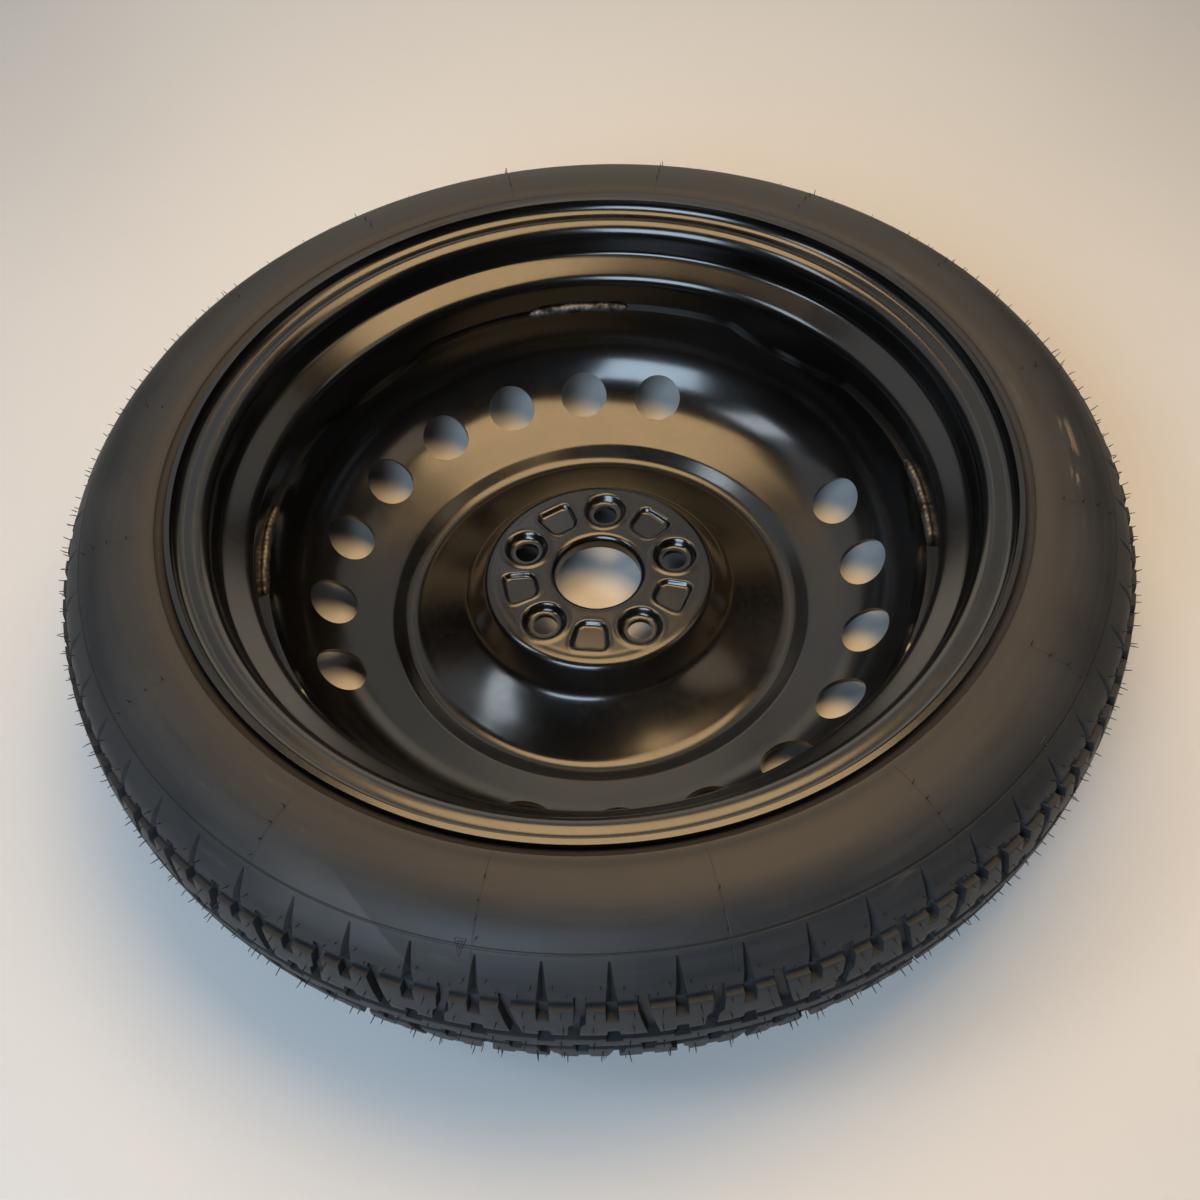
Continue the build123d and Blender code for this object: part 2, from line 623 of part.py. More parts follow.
def make_core_pin():
    """Pin that opens the valve when it is pressed, with the collar that the spring pushes on."""
    collar_to = PIN_COLLAR_FROM + PIN_COLLAR_HEIGHT
    outline = polygon(
        (0, PIN_FOOT),
        (PIN_D / 2, PIN_FOOT),
        (PIN_D / 2, PIN_COLLAR_FROM),
        (PIN_COLLAR_D / 2, PIN_COLLAR_FROM),
        (PIN_COLLAR_D / 2, collar_to),
        (PIN_D / 2, collar_to),
        (PIN_D / 2, PIN_TOP),
        (0, PIN_TOP),
    )
    return turned(outline)


def make_core_seal():
    """Soft washer that the spring holds against the barrel's lower end."""
    top = STEM_SEAT_FROM - SEAL_LIFT
    outline = polygon(
        (PIN_D / 2, top - SEAL_HEIGHT),
        (SEAL_D / 2, top - SEAL_HEIGHT),
        (SEAL_D / 2, top),
        (PIN_D / 2, top),
    )
    return turned(outline)


def make_core_cup():
    """Metal cup on the pin that carries the washer."""
    floor = STEM_SEAT_FROM - SEAL_LIFT - SEAL_HEIGHT
    outline = polygon(
        (PIN_D / 2, floor - CUP_FLOOR),
        (CUP_D / 2, floor - CUP_FLOOR),
        (CUP_D / 2, floor + CUP_WALL_HEIGHT),
        (SEAL_D / 2, floor + CUP_WALL_HEIGHT),
        (SEAL_D / 2, floor),
        (PIN_D / 2, floor),
    )
    return turned(outline)


def make_core_spring():
    """Coil spring between the barrel's floor and the pin's collar."""
    low = STEM_SEAT_FROM + CORE_BARREL_FLOOR + SPRING_WIRE_D / 2 + SPRING_FIT
    high = PIN_COLLAR_FROM - SPRING_WIRE_D / 2 - SPRING_FIT
    pitch = (high - low) / SPRING_TURNS
    coil = Helix(pitch=pitch, height=high - low, radius=SPRING_D / 2)
    start = Plane(origin=coil @ 0, z_dir=coil % 0)
    wire = start * RegularPolygon(SPRING_WIRE_D / 2, 6)
    return Pos(0, 0, low) * sweep(wire, path=coil, is_frenet=True)


def make_valve_cap():
    """Screw cap with grip grooves down its side."""
    bottom = VALVE_RUBBER_TOP + CAP_BOTTOM_GAP
    roof = STEM_TOP + CAP_TOP_GAP
    bore_r = STEM_THREAD_D / 2 + CAP_FIT
    outline = polygon(
        (bore_r, bottom),
        (CAP_D / 2, bottom),
        (CAP_D / 2, roof + CAP_ROOF),
        (0, roof + CAP_ROOF),
        (0, roof),
        (bore_r, roof),
    )
    cap = turned(outline)
    cap = fillet(cap.edges().group_by(Axis.Z)[-1], CAP_EDGE_R)
    height = roof - bottom
    for k in range(CAP_RIB_COUNT):
        groove = Cylinder(2 * CAP_RIB_DEPTH, height)
        reach = CAP_D / 2 + CAP_RIB_DEPTH
        cap -= around(360 * k / CAP_RIB_COUNT, reach, bottom + height / 2) * groove
    return cap


def main():
    valve = valve_plane()
    parts = {
        "tyre": make_tyre(),
        "rim": make_rim(),
        "disc": make_disc(),
        "weld_beads": make_weld_beads(),
        "valve_rubber": valve * make_valve_rubber(),
        "valve_stem": valve * make_valve_stem(),
        "core_plug": valve * make_core_plug(),
        "core_barrel": valve * make_core_barrel(),
        "core_gasket": valve * make_core_gasket(),
        "core_spring": valve * make_core_spring(),
        "core_pin": valve * make_core_pin(),
        "core_seal": valve * make_core_seal(),
        "core_cup": valve * make_core_cup(),
        "valve_cap": valve * make_valve_cap(),
    }
    os.makedirs("parts", exist_ok=True)
    for name, solid in parts.items():
        export_step(solid, f"parts/{name}.step", write_pcurves=False)
    print("valve origin", valve.origin, "axis", valve.z_dir)
    print("hub face", HUB_FACE_Z, "centre plane", CENTRE_Z)


main()
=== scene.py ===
# %% [markdown]
# # A temporary spare wheel
# A narrow tyre on a black pressed steel wheel lies flat, with its inboard side up. The frame
# gives every solid at its real size in metres, on one origin: the wheel's axis, at the surface
# that it lies on. We load it first.

# %% Load the frame
import math

import bpy
import numpy as np
from mathutils import Matrix, Vector


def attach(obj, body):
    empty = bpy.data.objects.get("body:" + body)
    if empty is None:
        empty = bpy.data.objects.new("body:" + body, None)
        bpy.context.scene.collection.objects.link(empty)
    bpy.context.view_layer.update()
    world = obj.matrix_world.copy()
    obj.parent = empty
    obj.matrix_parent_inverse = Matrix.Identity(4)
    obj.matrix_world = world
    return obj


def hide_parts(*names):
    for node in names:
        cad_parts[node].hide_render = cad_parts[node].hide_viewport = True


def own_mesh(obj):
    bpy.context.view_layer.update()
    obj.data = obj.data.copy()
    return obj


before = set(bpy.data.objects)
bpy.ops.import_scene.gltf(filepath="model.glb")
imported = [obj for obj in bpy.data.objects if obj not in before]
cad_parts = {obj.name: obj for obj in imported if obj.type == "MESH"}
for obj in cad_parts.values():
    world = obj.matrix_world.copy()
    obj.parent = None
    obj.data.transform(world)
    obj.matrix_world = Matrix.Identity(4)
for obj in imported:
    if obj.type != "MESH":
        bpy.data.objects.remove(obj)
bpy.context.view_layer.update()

MM = 0.001
print("nodes:", ", ".join(sorted(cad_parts)))

# %% [markdown]
# ## Camera
# The camera was fitted to the circles of the wheel: the flange, the vent holes and the hub pad.
# It stands close, a little over half a metre above the floor, and is rolled by four degrees. A
# camera that isn't turned looks straight down, so it is tilted up round X from there, and then
# rolled round its own Z.

# %% Camera
CAMERA_PLACE = Vector((0, -0.4631, 0.63315))
CAMERA_PITCH = 0.9358
CAMERA_ROLL = 0.0681

lens = bpy.data.cameras.new("photo_camera")
lens.lens = 36
lens.sensor_width = 36
lens.clip_start = 0.01
camera = bpy.data.objects.new("photo_camera", lens)
tilt = Matrix.Rotation(math.pi / 2 - CAMERA_PITCH, 4, "X")
roll = Matrix.Rotation(-CAMERA_ROLL, 4, "Z")
camera.matrix_world = Matrix.Translation(CAMERA_PLACE) @ tilt @ roll
bpy.context.collection.objects.link(camera)
bpy.context.scene.camera = camera
print("camera at", tuple(CAMERA_PLACE))

# %% [markdown]
# ## Shader maths as Python
# A finish is a graph of nodes. Written out that is long, so one class wraps an output socket: the
# usual operators add Math nodes, and `node` adds any other kind from its settings and sockets.

# %% A wire between nodes
class Wire:
    """One output socket of a material's nodes; arithmetic on wires adds Math nodes."""

    def __init__(self, tree, socket=None):
        self.tree = tree
        self.socket = socket

    def node(self, kind, settings, sockets, out=0):
        """Add a node, set its settings first, then give its sockets values or wires."""
        made = self.tree.nodes.new(kind)
        for name, value in settings.items():
            setattr(made, name, value)
        for name, value in sockets.items():
            if isinstance(value, Wire):
                self.tree.links.new(value.socket, made.inputs[name])
            else:
                made.inputs[name].default_value = value
        return Wire(self.tree, made.outputs[out])

    def maths(self, operation, *values):
        """Add a Math node."""
        return self.node("ShaderNodeMath", {"operation": operation}, dict(enumerate(values)))

    def __add__(self, other):
        return self.maths("ADD", self, other)

    def __sub__(self, other):
        return self.maths("SUBTRACT", self, other)

    def __rsub__(self, other):
        return self.maths("SUBTRACT", other, self)

    def __mul__(self, other):
        return self.maths("MULTIPLY", self, other)

    __radd__ = __add__
    __rmul__ = __mul__

# %% [markdown]
# Every finish starts from the same few wires: the place on the object, its distance from the
# wheel's axis, its angle round it, and noises and masks made of these. They read Object
# coordinates, which are the wheel's own metres because no piece is ever moved.

# %% Start a finish
class Finish:
    """A material with its Principled shader and the wires that its patterns are made of."""

    def __init__(self, name, **constants):
        self.material = bpy.data.materials.new(name)
        self.material.use_nodes = True
        tree = self.material.node_tree
        self.shader = tree.nodes["Principled BSDF"]
        for socket, value in constants.items():
            self.shader.inputs[socket.replace("_", " ")].default_value = value
        print("finish:", name)
        self.links = tree.links
        self.node = Wire(tree).node
        self.maths = Wire(tree).maths
        self.place = self.node("ShaderNodeTexCoord", {}, {}, out=3)
        whole = {0: self.place}
        parts = [self.node("ShaderNodeSeparateXYZ", {}, whole, out=k) for k in range(3)]
        self.x, self.y, self.z = parts
        self.radius = self.maths("SQRT", self.x * self.x + self.y * self.y)
        self.angle = self.maths("ARCTAN2", self.y, self.x)

    def noise(self, size, detail=3.0, roughness=0.55, at=None):
        """Noise from 0 to 1 whose blotches are about size metres across."""
        sockets = {"Vector": at or self.place, "Scale": 1 / size}
        sockets |= {"Detail": detail, "Roughness": roughness}
        return self.node("ShaderNodeTexNoise", {}, sockets)

    def polar(self, along, across):
        """Coordinates stretched round the wheel: angle, distance from the axis and height."""
        sockets = {0: self.angle * along, 1: self.radius * across, 2: self.z * across}
        return self.node("ShaderNodeCombineXYZ", {}, sockets)

    def step(self, value, low, high):
        """0 below low and 1 above high, with a smooth rise between; low may be the larger."""
        sockets = {"Value": value, "From Min": low, "From Max": high}
        return self.node("ShaderNodeMapRange", {"interpolation_type": "SMOOTHSTEP"}, sockets)

    def near(self, off, wide, narrow):
        """1 where off, of either sign, is below narrow and 0 where it is above wide."""
        return self.step(self.maths("ABSOLUTE", off), wide, narrow)

    def beside(self, count, first):
        """Distance aside of the nearest of count rays from the axis; first is in their spacings."""
        turn = self.angle * (count / (2 * math.pi)) - first
        return self.maths("PINGPONG", turn, 0.5) * self.radius * (2 * math.pi / count)

    def mix(self, factor, first, second):
        """Blend two colours, each a wire or its red, green and blue."""
        first, second = (c if isinstance(c, Wire) else (*c, 1.0) for c in (first, second))
        sockets = {0: factor, 6: first, 7: second}
        return self.node("ShaderNodeMix", {"data_type": "RGBA"}, sockets, out=2)

    def set(self, **wires):
        """Link wires to the shader's sockets."""
        for socket, wire in wires.items():
            self.links.new(wire.socket, self.shader.inputs[socket.replace("_", " ")])
        return self

    def bump(self, height, depth):
        """Tilt the shading by a height that runs from 0 to 1 over depth metres."""
        sockets = {"Height": height, "Distance": depth, "Strength": 1.0}
        return self.set(Normal=self.node("ShaderNodeBump", {}, sockets))

# %% [markdown]
# ## Wheel paint
# The wheel is dipped in black paint. It is semi-gloss: broad soft reflections, a fine orange
# peel, and a thin film of dust that settles on faces that look up. Specks and a few dull smears
# break the gloss. The dust is part of the base colour and raises the roughness where it lies.

# %% Wheel paint
def wheel_paint():
    paint = Finish("black_paint", IOR=1.5, Coat_Roughness=0.12)
    cloud = paint.noise(0.09, 4.0)
    grain = paint.noise(0.004, 3.0)
    speck = paint.step(paint.noise(0.0022, 2.0), 0.72, 0.79)
    facing = paint.node("ShaderNodeNewGeometry", {}, {}, out=1)
    up = paint.node("ShaderNodeSeparateXYZ", {}, {0: facing}, out=2)
    lying = paint.step(up, 0.35, 0.95)
    film = lying * paint.step(cloud * 0.7 + grain * 0.3, 0.40, 0.66)
    dust = film * 0.016 + speck * 0.04 * lying
    shade = paint.step(cloud, 0.35, 0.7)
    black = paint.mix(shade, (0.0012, 0.0012, 0.0013), (0.0022, 0.0021, 0.0020))
    paint.set(Base_Color=paint.mix(dust, black, (0.30, 0.25, 0.20)))
    paint.set(Roughness=0.17 + cloud * 0.03 + film * 0.05)
    paint.set(Coat_Weight=0.14 - film * 0.08)
    return paint.bump(grain * 0.4 + paint.noise(0.0011, 2.0) * 0.2, 0.000015).material


PAINT = wheel_paint()

# %% [markdown]
# ## Tyre rubber
# New rubber is a dark grey and nearly matte. It is browner towards the bead, mould release leaves
# faint streaks round it, and it gets lighter where it has been scuffed. Marks that sit at one
# place on the wheel are masks: products of smooth steps in the distance from the axis and the
# angle round it.

# %% Marks on the sidewall
MOULD_PARTS = 16
WEAR_MARKS = 6


def mould_joints(rubber):
    """A thin line round the sidewall, and fainter radial ones, where the mould's parts met."""
    aside = rubber.beside(MOULD_PARTS, 0.413)
    sidewall = rubber.step(rubber.radius, 0.240, 0.243) * rubber.step(rubber.radius, 0.293, 0.290)
    radial = sidewall * rubber.step(aside, 0.00045, 0.0002)
    ring = rubber.near(rubber.radius - 0.2830, 0.0007, 0.0003)
    return rubber.maths("MAXIMUM", radial * 0.3, ring)


def wear_marks(rubber):
    """Outlines of small triangles near the shoulder that show where the tread's wear bars are."""
    aside = rubber.beside(WEAR_MARKS, 0.262)
    out = rubber.radius - 0.2805
    inside = rubber.maths("MINIMUM", out, (0.0065 - out) * 0.42 - aside)
    return rubber.near(inside - 0.0006, 0.0007, 0.0003)


def scuffs(rubber):
    """A dull wedge with one sharp side, low on the left, and tan streaks on the right."""
    cloud = rubber.noise(0.02, 4.0, 0.65)
    streak = rubber.noise(0.005, 3.0, 0.6, rubber.polar(0.06, 1.0))
    side = rubber.radius * 6.852 - 3.897 - rubber.angle
    wedge = rubber.step(side, 0.0, 0.006) * rubber.step(rubber.angle, -2.22, -2.06)
    wedge *= rubber.step(rubber.radius, 0.266, 0.279)
    wedge *= rubber.step(rubber.radius, 0.298, 0.287)
    tan = rubber.near(rubber.angle + 0.1, 0.12, 0.07)
    tan *= rubber.near(rubber.radius - 0.2635, 0.0045, 0.0015)
    return wedge * (0.4 + cloud * 0.6), tan * rubber.step(streak, 0.46, 0.60)

# %% Tyre rubber
def tyre_rubber():
    rubber = Finish("new_rubber", IOR=1.48, Specular_IOR_Level=0.27)
    cloud = rubber.noise(0.07, 4.0)
    streak = rubber.noise(0.004, 3.0, 0.6, rubber.polar(0.02, 1.0))
    grain = rubber.noise(0.0008, 2.0)
    bloom = rubber.step(cloud * 0.6 + streak * 0.4, 0.38, 0.66)
    bead = rubber.step(rubber.radius, 0.268, 0.240)
    worn = rubber.step(rubber.noise(0.012, 4.0, 0.7, rubber.polar(0.05, 1.0)), 0.62, 0.74)
    joints = mould_joints(rubber)
    wedge, tan = scuffs(rubber)
    colour = rubber.mix(bloom, (0.0135, 0.0146, 0.0162), (0.0205, 0.0215, 0.0232))
    colour = rubber.mix(bead * 0.6, colour, (0.024, 0.0205, 0.0175))
    colour = rubber.mix(worn * 0.3, colour, (0.075, 0.071, 0.066))
    colour = rubber.mix(wedge * 0.5, colour, (0.062, 0.063, 0.066))
    colour = rubber.mix(tan * 0.55, colour, (0.16, 0.13, 0.095))
    rubber.set(Base_Color=rubber.mix(joints * 0.8, colour, (0.006, 0.006, 0.006)))
    rubber.set(Roughness=0.52 + bloom * 0.10 + worn * 0.12 - streak * 0.06)
    relief = wear_marks(rubber) * 4.0 - joints * 3.0
    return rubber.bump(streak * 0.5 + grain * 0.35 + relief, 0.00008).material


RUBBER = tyre_rubber()

# %% [markdown]
# ## Surfaces from numpy
# The wheel is full of shapes that are one line in section, carried round the axis. A bent sheet's
# section is a row of straight runs joined by arcs. A few helpers make such lines and turn grids
# of points into meshes, with whole arrays at a time.

# %% Section lines and meshes
def arc_of(before, corner, after, radius, step):
    """Points of the arc that touches both runs at a corner.

    Its centre is on the line that halves the angle, radius / sin(half angle) from the corner, and
    it starts and ends radius / tan(half angle) along the runs.
    """
    a = (before - corner) / np.linalg.norm(before - corner)
    b = (after - corner) / np.linalg.norm(after - corner)
    half = math.acos(np.clip(a @ b, -1, 1)) / 2
    middle = (a + b) / np.linalg.norm(a + b)
    centre = corner + middle * radius / math.sin(half)
    sweep = math.pi - 2 * half
    count = max(3, int(sweep * radius / step) + 2)
    turn = np.linspace(-sweep / 2, sweep / 2, count)[:, None]
    side = b - middle * (b @ middle)
    side /= np.linalg.norm(side)
    return centre - radius * (np.cos(turn) * middle - np.sin(turn) * side)


def bent_line(corners, radii, arc_step=1.0, run_step=4.0):
    """A line in section through corners, rounded at the inner ones, with points along its runs."""
    corners = np.asarray(corners, float)
    stretches = [corners[:1]]
    for k, radius in enumerate(radii, start=1):
        stretches.append(arc_of(corners[k - 1], corners[k], corners[k + 1], radius, arc_step))
    stretches.append(corners[-1:])
    points = [stretches[0]]
    for before, after in zip(stretches, stretches[1:]):
        gap = np.linalg.norm(after[0] - before[-1])
        count = max(1, int(np.ceil(gap / run_step)))
        part = np.linspace(0, 1, count + 1)[1:-1, None]
        points += [before[-1] + (after[0] - before[-1]) * part, after]
    return np.concatenate(points)


def normals_of(line):
    """Unit normals of a line in section, to the left of its direction."""
    run = np.gradient(line, axis=0)
    run /= np.linalg.norm(run, axis=1)[:, None]
    return np.stack([-run[:, 1], run[:, 0]], axis=1)


def lengths_along(line):
    """Distance of each point of a line from its start, measured along it."""
    return np.concatenate([[0], np.cumsum(np.linalg.norm(np.diff(line, axis=0), axis=1))])


def mesh_piece(name, points, polygons, finish, sharp=40):
    """A mesh from points in millimetres and arrays of polygons, each with one corner count."""
    mesh = bpy.data.meshes.new(name)
    corners = np.concatenate([part.ravel() for part in polygons]).astype(np.int32)
    sizes = np.concatenate([np.full(len(part), part.shape[1], np.int32) for part in polygons])
    mesh.vertices.add(len(points))
    mesh.vertices.foreach_set("co", (np.asarray(points, float) * MM).ravel())
    mesh.loops.add(len(corners))
    mesh.loops.foreach_set("vertex_index", corners)
    mesh.polygons.add(len(sizes))
    mesh.polygons.foreach_set("loop_start", np.cumsum(sizes, dtype=np.int32) - sizes)
    mesh.polygons.foreach_set("loop_total", sizes)
    mesh.update(calc_edges=True)
    mesh.validate()
    mesh.shade_smooth()
    mesh.set_sharp_from_angle(angle=math.radians(sharp))
    mesh.materials.append(finish)
    piece = bpy.data.objects.new(name, mesh)
    bpy.context.collection.objects.link(piece)
    print(f"{name}: {len(points)} points, {(sizes - 2).sum()} triangles")
    return piece


def grid_faces(rows, columns, closed=True, first=0):
    """Quads of a grid of points, numbered row by row; each row may close on itself."""
    row = columns * np.arange(rows - 1)[:, None]
    j = np.arange(columns if closed else columns - 1)[None, :]
    next_row = row + columns
    next_j = (j + 1) % columns
    quads = np.broadcast_arrays(row + j, row + next_j, next_row + next_j, next_row + j)
    return first + np.stack(quads, axis=-1).reshape(-1, 4)


def around_axis(radius, height, angle):
    """Points from distance to the axis, height and angle, for arrays of any matching shape."""
    radius, height, angle = np.broadcast_arrays(radius, height, angle)
    points = [radius * np.cos(angle), radius * np.sin(angle), height]
    return np.stack(points, axis=-1).reshape(-1, 3)

# %% [markdown]
# ## The tyre's section
# The tyre is a ring whose section is known: a bead that sits in the rim, a sidewall that bulges
# just past the flange, a straight shoulder and a slightly crowned tread. The outside is measured
# along its own line from the middle of the tread, because grooves are laid out on that line and
# sink square to it.

# %% Tyre section
CENTRE_Z = 80.7
TYRE_R = 303.5
SHOULDER = (298.8, 38.0)
SHOULDER_SLOPE = math.radians(47.9)
HALF_WIDTH = 64.0
SEAT_R = 218.3
SEAT_WIDTH = 19.3
RIM_FACE = 50.8
CURL_R = 9.5
FLANGE_HEIGHT = 17.3
BEAD_FIT = 0.15


def outside_line():
    """The tyre's outside from the middle of the tread to the flange, as (radius, height) pairs.

    The tread is an arc through the crown and both shoulders. From the shoulder a cone runs up to
    the sidewall, and from there an arc dives behind the flange's curled lip.
    """
    drop = TYRE_R - SHOULDER[0]
    bow = (drop**2 + SHOULDER[1] ** 2) / (2 * drop)
    height = np.linspace(0, SHOULDER[1], 39)
    tread = np.stack([TYRE_R - bow + np.sqrt(bow**2 - height**2), height], axis=1)
    crest = (SHOULDER[0] - (HALF_WIDTH - SHOULDER[1]) / math.tan(SHOULDER_SLOPE), HALF_WIDTH)
    wrap = math.radians(50)
    curl = (SEAT_R + FLANGE_HEIGHT - CURL_R, RIM_FACE + CURL_R)
    reach = CURL_R + BEAD_FIT
    leave = (curl[0] + reach * math.sin(wrap), curl[1] - reach * math.cos(wrap))
    clinch = (leave[0] + (HALF_WIDTH - leave[1]) / math.tan(wrap), HALF_WIDTH)
    side = bent_line([tread[-2], SHOULDER, crest, clinch, leave], [0.9, 36.4, 20.0], 0.5, 1.0)
    turn = np.linspace(wrap, 0, 8)[1:]
    lip = np.stack([curl[0] + reach * np.sin(turn), curl[1] - reach * np.cos(turn)], axis=1)
    heel = (SEAT_R + BEAD_FIT, RIM_FACE - BEAD_FIT)
    toe = (SEAT_R - 1.54, RIM_FACE - SEAT_WIDTH)
    bead = bent_line([lip[-1], heel, toe], [6.5], 1.0, 6.0)
    return np.concatenate([tread[:-2], side, lip, bead[1:]])


OUTSIDE = outside_line()
OUTSIDE_V = lengths_along(OUTSIDE)
OUTSIDE_NORMAL = -normals_of(OUTSIDE)
print("mid tread to bead toe:", round(OUTSIDE_V[-1], 1), "mm")


def on_outside(v, half, sunk=0.0):
    """Radius and height at distance v along the outside, sunk along its normal; half is 1 or -1."""
    radius, height = (np.interp(v, OUTSIDE_V, OUTSIDE[:, k]) for k in range(2))
    out_r, out_z = (np.interp(v, OUTSIDE_V, OUTSIDE_NORMAL[:, k]) for k in range(2))
    return radius - sunk * out_r, CENTRE_Z + half * (height - sunk * out_z)

# %% [markdown]
# ## The tread
# One pitch of the tread has a tapered slit over the shoulder that runs into a pit, and, half a
# pitch further, a slanting cut between two blocks. A modifier such as Boolean could cut these
# out, but it leaves ragged faces. Here the grid itself follows the pattern: each cut carries
# seven grid lines along, at its edges, at the foot of its walls and in its middle, and the points
# between sink.

# %% Layout of one pitch
PITCHES = 62
PITCH = 2 * math.pi * SHOULDER[0] / PITCHES
FIRST_SLIT = math.radians(-91.3)
WALL = 0.55
BEVEL = 0.45
BEVEL_DEPTH = 0.16
CUT_HALF = 2.75
EDGE_SIDE = np.array([-1, -1, -1, 0, 1, 1, 1])
EDGE_SHIFT = np.array([-BEVEL, 0, WALL, 0, -WALL, 0, BEVEL])
GROOVE = (4.9, 10.3)
GROOVE_WALL = 0.8
EDGE_GROOVE = (33.4, 36.9)
EDGE_WALL = 0.4
NOTCH = (2.1, 14.8)
PIT_FROM = 25.0
CUT_TO = 41.5
SLIT_TO = 58.8
SLIT_FOOT = 2.8
PLAIN_ROWS = [0, 19.5, 22.5, 29.5, 37.7, 38.3, 45.5, 50, 54.5, SLIT_TO, SLIT_TO + 1.6]


def edge_rows(start, end, wall):
    """Rows at a hollow's two edges: where the bevel starts, the edge, and the foot of the wall."""
    return [start - BEVEL, start, start + wall, end - wall, end, end + BEVEL]


ROWS = np.sort(
    PLAIN_ROWS
    + edge_rows(*NOTCH, WALL)
    + edge_rows(*GROOVE, GROOVE_WALL)
    + edge_rows(PIT_FROM, CUT_TO, WALL)
    + edge_rows(*EDGE_GROOVE, EDGE_WALL)
)
print(PITCHES, "pitches of", round(PITCH, 2), "mm,", len(ROWS), "rows in each half")


def slit_half(v):
    """Half the width of the slit, its pit and the notch below it, at distance v from the middle."""
    places = [NOTCH[0], NOTCH[1], PIT_FROM, 34, 38, SLIT_TO]
    return np.interp(v, places, [4.0, 2.5, 2.9, 2.9, SLIT_FOOT, 0.6])


def cut_shift(v, lean):
    """How far a cut's centre line is aside at v: it slants, and left-leaning ones have a knee."""
    right = np.interp(v, [GROOVE[1], 22.5, 33.0], [2.5, 0.3, -1.3])
    left = np.interp(v, [GROOVE[1], 19.5, 22.5, 33.0], [-2.6, -1.6, 0.6, 1.3])
    return np.where(lean > 0, right, left)


def pitch_lines(v, slits_first):
    """Places along two pitches of the 32 grid lines at each row v, as distances round the shoulder.

    Slit lines and cut lines take turns every half pitch, with one plain line between them; the two
    pitches differ in the lean of their cuts.
    """
    v = v[:, None]
    lines = []
    for k in range(4):
        is_slit = (k % 2 == 0) == slits_first
        middle = k * PITCH / 2
        half = slit_half(v) if is_slit else CUT_HALF
        aside = 0.0 if is_slit else cut_shift(v, 1 if k < 2 else -1)
        lines.append(middle + aside + half * EDGE_SIDE + EDGE_SHIFT)
    lines.append(lines[0] + 2 * PITCH)
    gaps = [(a[:, -1:] + b[:, :1]) / 2 for a, b in zip(lines, lines[1:])]
    return np.concatenate([part for pair in zip(lines, gaps) for part in pair], axis=1)

# %% [markdown]
# A point's depth is the largest of the depths of all features there. For straight-walled ones it
# depends only on how far the point is inside the edge: zero outside, a small bevel at the edge,
# then full depth behind a steep wall. The slit has a V section that gets shallower towards its
# tip. The shoulder itself sinks a little towards its edge, so that the row of blocks stands proud
# of it.

# %% How deep a point sinks
def soft_step(x):
    """0 up to x = 0, 1 from x = 1, and 3x^2 - 2x^3 between."""
    x = np.clip(x, 0, 1)
    return x * x * (3 - 2 * x)


def sunk_by(inside, depth, wall=WALL):
    """Depth from the distance inside an edge: a small bevel outside it, and a steep wall within."""
    bevel = BEVEL_DEPTH * np.clip((inside + BEVEL) / BEVEL, 0, 1)
    return bevel + (depth - BEVEL_DEPTH) * np.clip(inside / wall, 0, 1)


def tread_depth(x, v, slits_first):
    """Depth below the smooth outside at x round the shoulder and v from the middle of the tread."""
    v = np.broadcast_to(v[:, None], x.shape)
    slit_at = 0 if slits_first else PITCH / 2
    to_slit = np.abs((x - slit_at + PITCH / 2) % PITCH - PITCH / 2)
    from_cut = x - slit_at - PITCH / 2
    number = np.floor((from_cut + PITCH / 2) / PITCH) + (0 if slits_first else 1)
    lean = np.where(number % 2 == 0, 1, -1)
    to_cut = np.abs((from_cut + PITCH / 2) % PITCH - PITCH / 2 - cut_shift(v, lean))
    half = slit_half(v)

    def between(low, high):
        return np.minimum(v - low, high - v)

    pit = np.minimum(half - to_slit, between(PIT_FROM, 35.3))
    notch = np.minimum(half - to_slit, between(*NOTCH))
    cut = np.minimum(CUT_HALF - to_cut, between(8.5, CUT_TO))
    slit = 4.6 * half / SLIT_FOOT * np.clip(1 - to_slit / half, 0, 1)
    slit *= np.clip((SLIT_TO - v) / 3, 0, 1)
    step = np.where(v > 35, 2.6 * (1 - soft_step((v - 37.0) / 11)), 0)
    depths = [
        sunk_by(pit, 4.5),
        sunk_by(notch, 4.0),
        sunk_by(cut, 4.5),
        sunk_by(between(*GROOVE), 4.6, GROOVE_WALL),
        sunk_by(between(*EDGE_GROOVE), 3.5, EDGE_WALL),
        np.where(v > 36, slit + step, 0),
    ]
    return np.max(depths, axis=0)

# %% [markdown]
# The whole tread is one grid: rows from the inboard slit tips over the middle to the outboard
# ones. The outboard half is turned by half a pitch, so the lines that frame a slit on one side
# frame a cut on the other. The sidewalls, beads and the hidden inside need no such fine grid: one
# column there meets four in the tread, through a row of seven-cornered faces.

# %% Build the tyre
BEAD_RIB_AT = 106.0
RIB_HALF = 0.8
INSIDE_R = 291
INSIDE_CORNERS = [(243, 57.5), (287, 57.5), (INSIDE_R, 0)]


def sidewall_rows():
    """Distances along the outside from the slit tips to the toe, closer where the line bends.

    A low rib is moulded round the sidewall near the flange, and it takes five rows.
    """
    rib = BEAD_RIB_AT + RIB_HALF * np.array([-1, -0.5, 0, 0.5, 1])
    return np.sort(np.concatenate([np.linspace(SLIT_TO + 5.5, OUTSIDE_V[-1], 28), rib]))


def sidewall_relief(v):
    """Height of the rib that runs round the sidewall near the flange."""
    return 0.5 * np.clip(1 - np.abs(v - BEAD_RIB_AT) / RIB_HALF, 0, 1)


